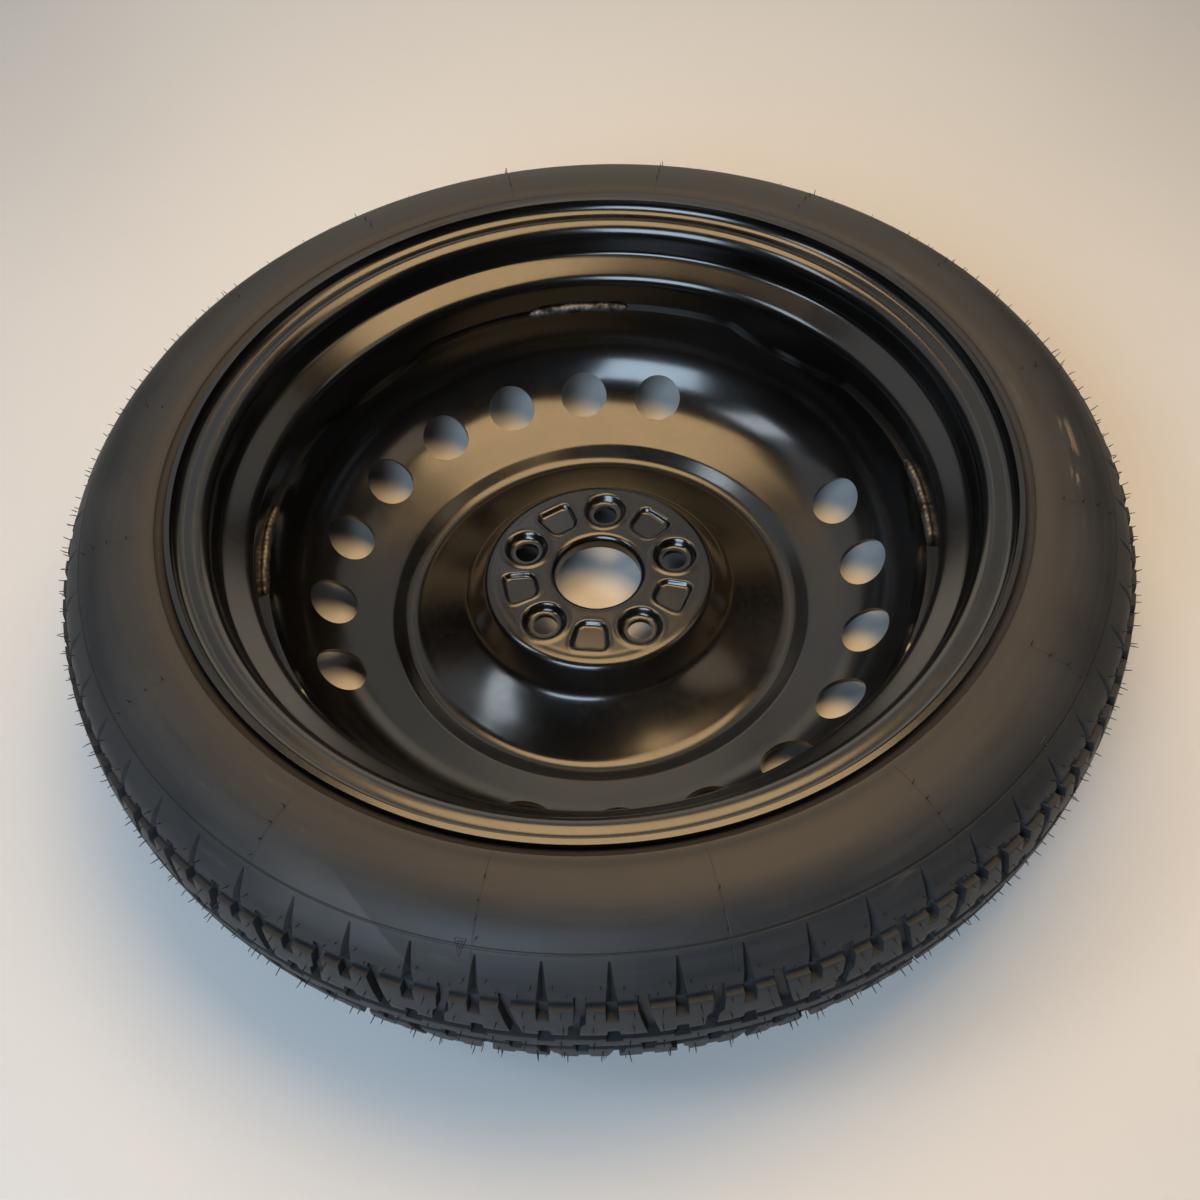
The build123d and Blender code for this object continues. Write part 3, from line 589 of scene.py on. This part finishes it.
def tyre_skin():
    """The tread's grid, closed by rings of a coarser one over the sidewalls and the inside.

    A point's angle is its distance round the shoulder over the shoulder's radius. Its radius and
    height are those of the outside at its row, sunk along the normal by its depth.
    """
    tread_rows = np.concatenate([ROWS[::-1], ROWS[1:]])
    upper = pitch_lines(ROWS[::-1], True)
    lower = pitch_lines(ROWS[1:], False)
    upper[-1] = (upper[-1] + pitch_lines(ROWS[:1], False)[0]) / 2
    depths = [tread_depth(upper, ROWS[::-1], True), tread_depth(lower, ROWS[1:], False)]
    lines = np.concatenate([upper, lower])
    half = np.concatenate([np.ones(len(ROWS)), -np.ones(len(ROWS) - 1)])
    radius, height = on_outside(tread_rows[:, None], half[:, None], np.concatenate(depths))
    turns = np.arange(PITCHES // 2) * 2 * PITCH
    along = (lines[:, None, :] + turns[None, :, None]).reshape(len(lines), -1)
    angle = FIRST_SLIT + along / SHOULDER[0]
    fine = angle.shape[1]
    tread = around_axis(np.tile(radius, PITCHES // 2), np.tile(height, PITCHES // 2), angle)
    side_v = sidewall_rows()
    side_r, side_z = on_outside(side_v, 1, -sidewall_relief(side_v))
    toe = (side_r[-1], side_z[-1] - CENTRE_Z)
    inside = bent_line([toe] + INSIDE_CORNERS, [12, 24], 6.0, 14.0)[1:-1]
    ring_r = np.concatenate([side_r, inside[:, 0], [INSIDE_R], inside[::-1, 0], side_r[::-1]])
    upper_z = [side_z, CENTRE_Z + inside[:, 1]]
    lower_z = [CENTRE_Z - inside[::-1, 1], 2 * CENTRE_Z - side_z[::-1]]
    ring_z = np.concatenate(upper_z + [[CENTRE_Z]] + lower_z)
    mix = np.linspace(0, 1, len(ring_r))[:, None]
    coarse_angle = angle[0, ::4] * (1 - mix) + angle[-1, ::4] * mix
    ring = around_axis(ring_r[:, None], ring_z[:, None], coarse_angle)
    coarse = fine // 4
    base = len(tread)
    j = np.arange(coarse)[:, None]
    next_j = (j + 1) % coarse
    chain = (4 * j + np.arange(5)) % fine
    top = np.concatenate([base + next_j, base + j, chain], axis=1)
    last_row = (len(lines) - 1) * fine
    last_ring = base + (len(ring_r) - 1) * coarse
    bottom = [last_ring + j, last_ring + next_j, last_row + chain[:, ::-1]]
    faces = [grid_faces(len(lines), fine)[:, ::-1], grid_faces(len(ring_r), coarse, first=base)]
    faces += [top, np.concatenate(bottom, axis=1)]
    return mesh_piece("tyre_skin", np.concatenate([tread, ring]), faces, RUBBER, sharp=32)


tyre = tyre_skin()
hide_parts("tyre")
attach(tyre, "wheel")

# %% [markdown]
# ## Mould whiskers
# Rubber that was pressed into the mould's air vents stands out as thin whiskers. On a tyre that
# has hardly been driven they are all still there and prickle along its outline. There are about a
# thousand, so each is only a bent spike of three sides, and all are worked out together.

# %% Mould whiskers
WHISKERS_PER_PITCH = np.array(
    [(-4.6, 46.0), (5.0, 46.8), (PITCH / 2 - 4.8, 42.6), (PITCH / 2 + 4.6, 42.2)]
    + [(-8.2, 31.0), (8.6, 30.4), (-9.2, 18.0), (9.0, 18.4), (6.5, 1.2)]
)
SIDEWALL_WHISKERS = [66.0, 74.0, 83.0, 92.0]
FIRST_JOINT = 9.3


def whisker_roots(chance):
    """Roots on both halves of the tread, and in rows up the sidewall at the joints of the mould."""
    places = []
    for half in (1, -1):
        shift = 0 if half > 0 else PITCH / 2
        x = WHISKERS_PER_PITCH[None, :, 0] + PITCH * np.arange(PITCHES)[:, None] + shift
        v = np.broadcast_to(WHISKERS_PER_PITCH[None, :, 1], x.shape)
        places.append(np.stack([x.ravel(), v.ravel(), np.full(x.size, half)], axis=1))
        joints = FIRST_JOINT + 360 / MOULD_PARTS * np.arange(MOULD_PARTS)
        x = (np.radians(np.repeat(joints, len(SIDEWALL_WHISKERS))) - FIRST_SLIT) * SHOULDER[0]
        v = np.tile(SIDEWALL_WHISKERS, MOULD_PARTS)
        places.append(np.stack([x, v, np.full(x.size, half)], axis=1))
    roots = np.concatenate(places)
    roots[:, :2] += chance.normal(0, 0.5, (len(roots), 2))
    return roots[chance.random(len(roots)) < 0.9]


def mould_whiskers():
    """Spikes of three sides: each ring moves out along the normal, leans aside and gets thinner."""
    chance = np.random.default_rng(11)
    roots = whisker_roots(chance)
    x, v, half = roots.T
    angle = FIRST_SLIT + x / SHOULDER[0]
    radius, height = on_outside(v, half, 0.4)
    top_r, top_z = on_outside(v, half, -1.0)
    root = around_axis(radius, height, angle)
    out = around_axis(top_r - radius, top_z - height, angle)
    out /= np.linalg.norm(out, axis=1)[:, None]
    aside = around_axis(0 * angle + 1, 0 * angle, angle + np.pi / 2)
    third = np.cross(out, aside)
    length = chance.uniform(2.6, 5.2, len(root))[:, None]
    lean = chance.normal(0, 0.11, (2, len(root), 1))
    rings = []
    for part, thick in ((0.0, 0.34), (0.45, 0.29), (0.85, 0.22)):
        middle = root + length * (part * out + part**2 * (lean[0] * aside + lean[1] * third))
        for turn in (0, 2 * np.pi / 3, 4 * np.pi / 3):
            rings.append(middle + thick * (math.cos(turn) * aside + math.sin(turn) * third))
    tip = root + length * (out + lean[0] * aside + lean[1] * third)
    points = np.stack(rings + [tip], axis=1).reshape(-1, 3)
    first = 10 * np.arange(len(root))[:, None]
    sides = [(k + a, k + b) for k in (0, 3) for a, b in ((0, 1), (1, 2), (2, 0))]
    walls = [first + [a, b, b + 3, a + 3] for a, b in sides]
    tips = [first + [a, b, 9] for a, b in ((6, 7), (7, 8), (8, 6))]
    feet = first + [2, 1, 0]
    faces = [np.concatenate(walls), np.concatenate(tips + [feet])]
    return mesh_piece("mould_whiskers", points, faces, RUBBER, sharp=180)


whiskers = mould_whiskers()
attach(whiskers, "wheel")

# %% [markdown]
# ## Pressed sheet with holes
# The rim and the disc are steel sheet: one side is drawn as a grid that runs along the section
# and round the axis, and a Solidify modifier gives it its thickness. A hole is punched by leaving
# out the faces whose middle is inside it and then pulling the points along its edge exactly onto
# the circle.

# %% Grids along a section
def spaced(length, spacing):
    """Places from 0 to length, as far apart as spacing(place) asks for there.

    The count of steps up to a place is the sum of 1 / spacing; even counts give the places.
    """
    fine = np.linspace(0, length, 4001)
    count = np.concatenate([[0], np.cumsum(np.diff(fine) / spacing((fine[1:] + fine[:-1]) / 2))])
    return np.interp(np.linspace(0, count[-1], int(np.ceil(count[-1])) + 1), count, fine)


class Section:
    """A line in section with its own measure, and the points that it gives round the axis."""

    def __init__(self, corners, radii):
        self.line = bent_line(corners, radii, 0.25, 0.5)
        self.along = lengths_along(self.line)
        self.length = self.along[-1]

    def at(self, s):
        """Radius and height at distance s along the line."""
        return tuple(np.interp(s, self.along, self.line[:, k]) for k in range(2))

    def points(self, s, angle):
        """Points at distance s along the line, turned by an angle round the axis."""
        return around_axis(*self.at(s), angle)

    def nearest(self, radius, height):
        """Place along the line that is nearest to a point in section."""
        return self.along[np.argmin(np.hypot(self.line[:, 0] - radius, self.line[:, 1] - height))]

# %% [markdown]
# A ring of points that comes from a square grid is uneven, and the shading shows it. So the
# points along a hole are spaced evenly round it, and the grid near it is relaxed: each point
# moves to the middle of its neighbours, a few times over.

# %% Punch holes
def even_turns(turn):
    """Turns with the same order as before but evenly spaced, shifted as a whole to stay close."""
    order = np.argsort(turn)
    steps = 2 * np.pi * np.arange(len(turn)) / len(turn)
    shift = np.angle(np.exp(1j * (turn[order] - steps)).mean())
    even = np.empty_like(turn)
    even[order] = steps + shift
    return even


def relaxed(places, faces, free, rounds=6):
    """Move each free point to the middle of its neighbours along the faces' sides, rounds times."""
    ends = np.stack([faces, np.roll(faces, -1, axis=1)], axis=-1).reshape(-1, 2)
    count = np.bincount(ends.ravel(), minlength=len(places))[:, None]
    for _ in range(rounds):
        total = np.zeros_like(places)
        np.add.at(total, ends[:, 0], places[ends[:, 1]])
        np.add.at(total, ends[:, 1], places[ends[:, 0]])
        places = np.where(free[:, None], total / np.maximum(count, 1), places)
    return places


def punch(section, s, angle, faces, holes):
    """Leave out the faces inside each hole, put its edge on its circle and relax the grid there.

    s and angle are the points' places on the sheet; a hole is (s, angle, radius). Along the sheet
    a point is s away along the section and radius times angle away round the axis.
    """
    s, angle = s.copy(), angle.copy()
    kept = np.ones(len(faces), bool)
    for hole_s, hole_angle, hole_r in holes:
        turn = (angle - hole_angle + np.pi) % (2 * np.pi) - np.pi
        place = np.stack([s - hole_s, turn * section.at(s)[0]], axis=1)
        far = np.hypot(*place.T)
        inside = far[faces].mean(axis=1) < hole_r
        edge = np.intersect1d(faces[inside & kept], faces[~inside & kept])
        kept &= ~inside
        round_hole = even_turns(np.arctan2(place[edge, 1], place[edge, 0]))
        place[edge] = hole_r * np.stack([np.cos(round_hole), np.sin(round_hole)], axis=1)
        near = far < 1.5 * hole_r
        beside = near & ~np.isin(np.arange(len(s)), edge)
        place = relaxed(place, faces[kept & near[faces].any(axis=1)], beside)
        s[near] = hole_s + place[near, 0]
        angle[near] = hole_angle + place[near, 1] / section.at(s[near])[0]
    return s, angle, faces[kept]


def sheet_faces(points, faces):
    """Leave out the points that no face uses, and turn the faces to the sheet's other side."""
    used, numbers = np.unique(faces, return_inverse=True)
    return points[used], [numbers.reshape(-1, 4)[:, ::-1]]


SHARP = 62


def sheet_metal(piece, thickness, edge):
    """Give a one-sided sheet its thickness behind its face, and break its sharp edges."""
    wall = piece.modifiers.new("thickness", "SOLIDIFY")
    wall.thickness = thickness * MM
    wall.offset = -1
    wall.use_even_offset = True
    rounding = piece.modifiers.new("edges", "BEVEL")
    rounding.limit_method = "ANGLE"
    rounding.angle_limit = math.radians(SHARP)
    rounding.width = edge * MM
    rounding.segments = 2
    rounding.harden_normals = True

# %% [markdown]
# ## The disc
# The disc is pressed from one blank: a flat pad that meets the hub, a steep dome with a curved
# foot, a ring-shaped trough that the wheel lies on, a conical band with the vent holes, and an
# edge that is welded into the rim. The foot of the dome is a very wide arc, so its reflections
# change along it. Five bolt dishes and five stiffening pockets are pressed into the pad. Presses
# leave soft edges, so these are heights that rise smoothly over the wall's width, added to the
# flat pad.

# %% Disc section
HUB_FACE_Z = 35.7
DISC_SHEET = 3.2
DISC_EDGE_R = 195.25
DISC_EDGE_Z = 80.2
BAND_RISE = math.tan(math.radians(17))
TROUGH_END = (134.0, DISC_SHEET + 7)
DISC_CORNERS = [
    (27.05, HUB_FACE_Z - 10),
    (27.05, HUB_FACE_Z),
    (70.5, HUB_FACE_Z),
    (84.0, HUB_FACE_Z - 16.2),
    (100.0, DISC_SHEET + 7.02),
    (122.52, DISC_SHEET - 1.2),
    TROUGH_END,
    (DISC_EDGE_R, TROUGH_END[1] + (DISC_EDGE_R - TROUGH_END[0]) * BAND_RISE),
    (DISC_EDGE_R, DISC_EDGE_Z),
]
DISC_BENDS = [4.5, 6.0, 14.0, 150.0, 10.0, 6.0, 61.0]
DISC_ROWS = np.array(
    [(27, 1.2), (32, 1.15), (62, 1.15), (68, 1.7), (92, 2.6), (112, 2.6)]
    + [(124, 1.6), (128, 1.1), (139, 1.1), (146, 2.7), (196, 2.7)]
)
disc_section = Section(DISC_CORNERS, DISC_BENDS)
print("disc section:", round(disc_section.length, 1), "mm")


def disc_spacing(s):
    """Distance between grid rows: fine over the pad and the tight bends, wide on the band."""
    radius, _ = disc_section.at(s)
    return np.interp(radius, *DISC_ROWS.T)

# %% Pressings in the pad
BOLT_CIRCLE_R = 50
DISH_R = 14.0
DISH_DEPTH = 4.2
POCKET_ENDS = (38.3, 60.7)
POCKET_CORNER = 6.5
POCKET_DEPTH = 2.7
BOLT_ANGLES = np.radians(81.7 + 72 * np.arange(5))
POCKET_ANGLES = BOLT_ANGLES + math.radians(36)


def ridge(aside, height, width):
    """A smooth ridge along a line: height times exp(-(distance aside / width) ^ 2)."""
    return height * np.exp(-((aside / width) ** 2))


def pad_height(x, y):
    """Height of the pressings over the flat pad at x, y.

    A bolt dish is a round hollow with a sloping wall and a slightly raised lip. A pocket is a
    rounded trapezium that sinks over the width of its wall, measured from its nearest side. The
    walls of both are as wide as they are deep. A fine groove runs round the pad.
    """
    height = np.zeros_like(x)
    for angle in BOLT_ANGLES:
        out = np.hypot(x - BOLT_CIRCLE_R * math.cos(angle), y - BOLT_CIRCLE_R * math.sin(angle))
        height += ridge(out - 14.6, 0.45, 1.3)
        height -= DISH_DEPTH * soft_step((DISH_R - out) / DISH_DEPTH)
    for angle in POCKET_ANGLES:
        u = x * math.cos(angle) + y * math.sin(angle)
        w = np.abs(y * math.cos(angle) - x * math.sin(angle))
        ends = np.minimum(u - POCKET_ENDS[0], POCKET_ENDS[1] - u)
        sides = (8.5 + (u - 39.5) * 0.175 + 1.2 - w) * 0.985
        past = [np.maximum(POCKET_CORNER - ends, 0), np.maximum(POCKET_CORNER - sides, 0)]
        corner = POCKET_CORNER - np.hypot(*past)
        inside = np.where(u > 0, np.minimum(np.minimum(ends, sides), corner), -9)
        height += ridge(inside, 0.3, 1.1)
        height -= POCKET_DEPTH * soft_step(inside / POCKET_DEPTH)
    return height - ridge(np.hypot(x, y) - 64.2, 0.14, 0.9)

# %% [markdown]
# The disc's edge dips between the four welds. The end of the grid is shortened there, so its rows
# crowd together and the edge follows the dip. The twenty vent places are 18 degrees apart, and
# two pairs of places are left without a hole.

# %% Build the disc
FIRST_VENT = 0.5
DIP_ANGLE = math.radians(FIRST_VENT + 45)
DIP_HALF = 36
DIP_DEPTH = 4.5
EDGE_STRETCH = 16.0
VENT_R = 16.25
VENT_STEP = 18
NO_VENT = (2, 3, 12, 13)
BOLT_HOLE_R = 7.5
PAD = (31, 68)


def edge_dip(angle):
    """How far the disc's edge is cut back: nothing at the welds, a ramp, and an arc between."""
    turn = (angle - DIP_ANGLE + math.pi / 4) % (math.pi / 2) - math.pi / 4
    aside = np.abs(DISC_EDGE_R * np.sin(turn))
    ramp = np.interp(aside, [DIP_HALF, DIP_HALF + 9], [DIP_DEPTH, 0])
    return ramp + DIP_DEPTH * np.clip(1 - (aside / DIP_HALF) ** 2, 0, 1)


VENT_S = disc_section.nearest(170.8, 22.6)
VENT_ANGLES = np.radians([FIRST_VENT + VENT_STEP * k for k in range(20) if k not in NO_VENT])


def pressed_disc():
    """The disc's upper side: its section carried round the axis, punched and pressed."""
    rows = spaced(disc_section.length, disc_spacing)
    turn = np.linspace(0, 2 * np.pi, 360, endpoint=False) + math.radians(FIRST_VENT)
    s, angle = (part.ravel() for part in np.meshgrid(rows, turn, indexing="ij"))
    start = disc_section.length - EDGE_STRETCH
    shorter = (s - start) * (EDGE_STRETCH - edge_dip(angle)) / EDGE_STRETCH
    s = np.where(s > start, start + shorter, s)
    faces = grid_faces(len(rows), len(turn))
    bolt_s = disc_section.nearest(BOLT_CIRCLE_R, HUB_FACE_Z)
    holes = [(VENT_S, vent, VENT_R) for vent in VENT_ANGLES]
    holes += [(bolt_s, bolt, BOLT_HOLE_R) for bolt in BOLT_ANGLES]
    s, angle, faces = punch(disc_section, s, angle, faces, holes)
    points = disc_section.points(s, angle)
    x, y, _ = points.T
    on_pad = (s > disc_section.nearest(PAD[0], HUB_FACE_Z)) & (np.hypot(x, y) < PAD[1])
    points[:, 2] += np.where(on_pad, pad_height(x, y), 0)
    return mesh_piece("pressed_disc", *sheet_faces(points, faces), PAINT, SHARP)


disc = pressed_disc()
sheet_metal(disc, DISC_SHEET, 0.45)
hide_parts("disc")
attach(disc, "wheel")

# %% [markdown]
# ## The rim
# The rim is rolled from a strip: a curled flange and a bead seat on each side, and a drop well
# between. Its section runs from one lip to the other on the tyre's side. The columns stand closer
# near the valve, so that the small valve hole in the outboard ledge is round.

# %% Build the rim
RIM_SHEET = 3.0
LIP = RIM_FACE + 11.2
TIP_R = SEAT_R + FLANGE_HEIGHT
SEAT_END = (SEAT_R - 1.688, RIM_FACE - SEAT_WIDTH)
WELL = [(201.5, 21.0), (201.5, -24.0)]
UPPER_RIM = [(TIP_R, LIP), (TIP_R, RIM_FACE), (SEAT_R, RIM_FACE), SEAT_END]
LOWER_RIM = [(radius, -height) for radius, height in UPPER_RIM[::-1]]
RIM_CORNERS = [(radius, CENTRE_Z + height) for radius, height in UPPER_RIM + WELL + LOWER_RIM]
rim_section = Section(RIM_CORNERS, [CURL_R, 6.5, 7.0, 4.5, 4.5, 4.0, 6.5, CURL_R])
VALVE_R = (WELL[1][0] + SEAT_END[0]) / 2
VALVE_Z = CENTRE_Z - (SEAT_END[1] - WELL[1][1]) / 2
VALVE_HOLE_R = 5.65


def rim_spacing(s):
    """Distance between grid rows: fine where the section's heading changes, wide on its runs."""
    heading = np.unwrap(np.arctan2(*np.gradient(rim_section.line, axis=0).T))
    wide = np.where(np.abs(np.gradient(heading)) > 0.002, 1.3, 3.4)
    return np.interp(s, rim_section.along, wide)


def column_spacing(turn):
    """Angle between grid columns: small near the valve, half a turn from the first column."""
    return np.where(np.abs(turn - math.pi) < math.radians(3.0), 0.0045, 0.0196)


def rim_barrel():
    """The rim's outer side: its section carried round the axis, with the valve's hole at a dip."""
    rows = spaced(rim_section.length, rim_spacing)
    turn = DIP_ANGLE - math.pi + spaced(2 * math.pi, column_spacing)[:-1]
    s, angle = (part.ravel() for part in np.meshgrid(rows, turn, indexing="ij"))
    hole = (rim_section.nearest(VALVE_R, VALVE_Z), DIP_ANGLE, VALVE_HOLE_R)
    s, angle, faces = punch(rim_section, s, angle, grid_faces(len(rows), len(turn)), [hole])
    points = rim_section.points(s, angle)
    return mesh_piece("rim_barrel", *sheet_faces(points, faces), PAINT, SHARP)


rim = rim_barrel()
sheet_metal(rim, RIM_SHEET, 0.7)
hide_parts("rim")
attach(rim, "wheel")

# %% [markdown]
# ## The welds
# Four beads of weld hold the disc in the rim. They are bare steel that ran and froze in ripples,
# burnt dark in places. Bump alone would leave a smooth outline, so the ripples are in the shape.

# %% Weld metal
def weld_metal():
    weld = Finish("weld_skin", Metallic=0.85)
    ripple = weld.noise(0.0025, 3.0)
    burnt = weld.step(weld.noise(0.008, 3.0), 0.45, 0.65)
    colour = weld.mix(ripple, (0.035, 0.032, 0.030), (0.17, 0.16, 0.15))
    weld.set(Base_Color=weld.mix(burnt, colour, (0.014, 0.0125, 0.0115)))
    weld.set(Roughness=0.38 + ripple * 0.2 + burnt * 0.15)
    return weld.bump(ripple, 0.0004).material


WELD = weld_metal()

# %% Weld beads
WELD_R = 197.2
WELD_Z = 80.5
WELD_SIZE = (2.6, 3.4)
WELD_RINGS = 81
WELD_SIDES = 18


def weld_runs():
    """Four beads in the corner over the disc's edge, each 20 degrees long.

    A bead is an ellipse carried along an arc. Its size swells and shrinks with a few sine waves
    of different lengths, and falls to a small closed tip at both ends like a half round.
    """
    chance = np.random.default_rng(7)
    t = np.linspace(-0.9995, 0.9995, WELD_RINGS)[:, None]
    u = np.linspace(0, 2 * np.pi, WELD_SIDES, endpoint=False)[None, :]
    count = WELD_RINGS * WELD_SIDES
    ends = np.stack([np.arange(WELD_SIDES)[::-1], np.arange(count - WELD_SIDES, count)])
    points, faces = [], []
    for k in range(4):
        waves = np.arange(1, 9)[:, None, None]
        phase, turn = chance.uniform(0, 6.28, (2, 8, 1, 1))
        swell = np.sin(waves * 3.1 * t + phase) * np.cos(u * (waves % 3) + turn)
        lumps = (swell / np.sqrt(waves)).sum(axis=0)
        ripple = np.sin(t * 62 + 1.1 * np.cos(u) + k)
        size = (1 + 0.075 * lumps + 0.05 * ripple) * (1 - t**10) ** 0.5
        drift = 0.5 * np.sin(4.1 * t + k)
        angle = math.radians(FIRST_VENT + 90 * k) + math.radians(10) * t
        radius = WELD_R - WELD_SIZE[0] * size * np.cos(u)
        height = WELD_Z + drift + WELD_SIZE[1] * size * np.sin(u)
        points.append(around_axis(radius, height, angle))
        faces += [grid_faces(WELD_RINGS, WELD_SIDES, first=count * k), count * k + ends]
    return mesh_piece("weld_runs", np.concatenate(points), faces, WELD, sharp=60)


welds = weld_runs()
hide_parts("weld_beads")
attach(welds, "wheel")

# %% [markdown]
# ## The valve's finishes
# The valve is rubber on a brass stem, with a steel-sprung core, under a plastic cap. Its pieces
# are small, so two recipes with different colours and gloss do for all of them.

# %% Valve finishes
def moulded(name, dark, pale, rough, depth):
    """A moulded rubber or plastic: two close shades, a fine grain and a slightly uneven gloss."""
    skin = Finish(name)
    cloud = skin.noise(0.006, 3.0)
    grain = skin.noise(0.0006, 2.0)
    skin.set(Base_Color=skin.mix(skin.step(cloud, 0.35, 0.65), dark, pale))
    skin.set(Roughness=rough + cloud * 0.12)
    return skin.bump(grain, depth).material


def machined(name, colour, worn, rough):
    """A turned metal: fine marks in rings, and duller worn patches."""
    metal = Finish(name, Metallic=1.0)
    patch = metal.noise(0.003, 3.0)
    metal.set(Base_Color=metal.mix(metal.step(patch, 0.4, 0.7), colour, worn))
    metal.set(Roughness=rough + patch * 0.15)
    return metal.bump(metal.noise(0.0004, 2.0), 0.000004).material


STALK_SHADES = (0.018, 0.018, 0.018), (0.026, 0.025, 0.024)
WASHER_SHADES = (0.020, 0.018, 0.017), (0.032, 0.028, 0.026)
CAP_SHADES = (0.012, 0.012, 0.013), (0.018, 0.018, 0.019)
VALVE_RUBBER = moulded("stalk_rubber", *STALK_SHADES, 0.45, 0.00005)
SEAL_RUBBER = moulded("washer_rubber", *WASHER_SHADES, 0.5, 0.00004)
CAP_PLASTIC = moulded("black_plastic", *CAP_SHADES, 0.32, 0.00003)
BRASS = machined("turned_brass", (0.62, 0.45, 0.20), (0.42, 0.30, 0.14), 0.22)
SPRING = machined("drawn_steel", (0.55, 0.55, 0.54), (0.36, 0.35, 0.34), 0.25)

# %% [markdown]
# ## Solids that stay
# A CAD solid whose shape is right stays as it is and only gets its finish.

# %% Dress the solids
SOLID_FINISHES = {
    "valve_rubber": VALVE_RUBBER,
    "valve_stem": BRASS,
    "core_plug": BRASS,
    "core_barrel": BRASS,
    "core_cup": BRASS,
    "core_pin": BRASS,
    "core_gasket": SEAL_RUBBER,
    "core_seal": SEAL_RUBBER,
    "valve_cap": CAP_PLASTIC,
}
for name, finish in SOLID_FINISHES.items():
    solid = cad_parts[name]
    solid.data.materials.clear()
    solid.data.materials.append(finish)
print("dressed", len(SOLID_FINISHES), "solids")

# %% [markdown]
# ## The valve's spring
# Pressing the pin shortens the coil that pushes it back, and a solid can't do that. The pin's
# collar comes 1.8 mm closer, so the coil keeps just under two thirds of its length. The coil is
# built here at its full length, with a mesh of its own, and nothing shortens it. Heights here
# are measured from the valve's foot along its axis.

# %% Coil spring
VALVE_FOOT = np.array([146.529, 149.109, 52.95])
VALVE_AXIS = np.array([-0.311602, -0.317089, -0.895745])
COIL_FROM = 14.35
COIL_TO = 19.45
COIL_TURNS = 5
COIL_R = 1.2
COIL_RINGS = 121
WIRE_R = 0.18
WIRE_SIDES = 8


def coil_spring():
    """A round wire along a helix that climbs evenly round the valve's axis, with closed ends."""
    turn = np.linspace(0, 2 * np.pi * COIL_TURNS, COIL_RINGS)[:, None]
    u = np.linspace(0, 2 * np.pi, WIRE_SIDES, endpoint=False)[None, :]
    climb = (COIL_TO - COIL_FROM - 2 * WIRE_R) * turn / turn[-1]
    height = COIL_FROM + WIRE_R + climb + WIRE_R * np.sin(u)
    upright = around_axis(COIL_R + WIRE_R * np.cos(u), height, turn)
    side = np.cross((0, 0, 1), VALVE_AXIS)
    side /= np.linalg.norm(side)
    points = VALVE_FOOT + upright @ np.stack([side, np.cross(VALVE_AXIS, side), VALVE_AXIS])
    first = np.arange(WIRE_SIDES)
    ends = np.stack([first, len(points) - 1 - first])
    faces = [grid_faces(COIL_RINGS, WIRE_SIDES)[:, ::-1], ends]
    return mesh_piece("coil_spring", points, faces, SPRING, sharp=60)


coil = coil_spring()
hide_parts("core_spring")
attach(coil, "wheel")
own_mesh(coil)

# %% [markdown]
# ## Floor and light
# The floor is plain and pale. A warm soft lamp hangs over the wheel, a little behind it, with a
# weaker one on the right. Cool daylight comes from the left, most of it from the near side, and
# broad weak lamps stand for a bright wall and ceiling. Glossy black paint shows hardly any colour
# of its own: what we see of the bowl is these lamps, mirrored in its bends. Where a lamp has to
# stand was worked out backwards, from a bright place in the photograph along its mirror
# direction.

# %% Floor
def pale_floor():
    floor = Finish("pale_floor")
    cloud = floor.noise(0.4, 3.0)
    floor.set(Base_Color=floor.mix(cloud, (0.48, 0.48, 0.48), (0.52, 0.52, 0.52)))
    floor.set(Roughness=0.42 + cloud * 0.1)
    return floor.material


FLOOR_HALF = 4000.0
lines = np.linspace(-FLOOR_HALF, FLOOR_HALF, 9)
across, along = np.meshgrid(lines, lines)
sheet = np.stack([across, along, np.zeros_like(across)], axis=-1).reshape(-1, 3)
ground = mesh_piece("floor", sheet, [grid_faces(9, 9, closed=False)], pale_floor())

# %% Lamps
def soft_lamp(name, place, size, watts, colour):
    """A rectangular lamp, size wide and high, at a place and turned to the wheel's middle."""
    light = bpy.data.lights.new(name, "AREA")
    light.shape = "RECTANGLE"
    light.size, light.size_y = size
    light.energy = watts
    light.color = colour
    lamp = bpy.data.objects.new(name, light)
    toward = Vector((0, 0, 0.06)) - Vector(place)
    aim = toward.to_track_quat("-Z", "Y").to_matrix().to_4x4()
    lamp.matrix_world = Matrix.Translation(place) @ aim
    lamp.visible_camera = False
    bpy.context.collection.objects.link(lamp)


soft_lamp("hanging_warm", (0.1, 0.115, 1.0), (0.85, 0.53), 12, (1.0, 0.66, 0.33))
soft_lamp("window_left", (-1.2, -0.2, 1.45), (0.36, 0.6), 6, (0.80, 0.91, 1.0))
soft_lamp("window_near", (-0.9, -1.9, 1.5), (1.4, 1.2), 64, (0.64, 0.82, 1.0))
soft_lamp("wall_glow", (0.1, 2.0, 0.75), (2.0, 1.0), 9, (1.0, 0.88, 0.70))
soft_lamp("ceiling_far", (0.8, 1.7, 2.0), (2.6, 1.1), 6, (1.0, 0.97, 0.90))
soft_lamp("ceiling_left", (-1.05, 1.05, 1.5), (2.2, 1.0), 5, (0.94, 0.97, 1.0))
soft_lamp("lamp_right", (1.6, -0.3, 1.4), (0.9, 0.9), 4, (1.0, 0.80, 0.56))

world = bpy.data.worlds.new("studio")
world.use_nodes = True
bpy.context.scene.world = world
sky = world.node_tree.nodes["Background"]
sky.inputs["Color"].default_value = (0.88, 0.93, 1.0, 1)
sky.inputs["Strength"].default_value = 0.05
bpy.context.scene.view_settings.view_transform = "Standard"
print(len(bpy.data.lights), "lamps")
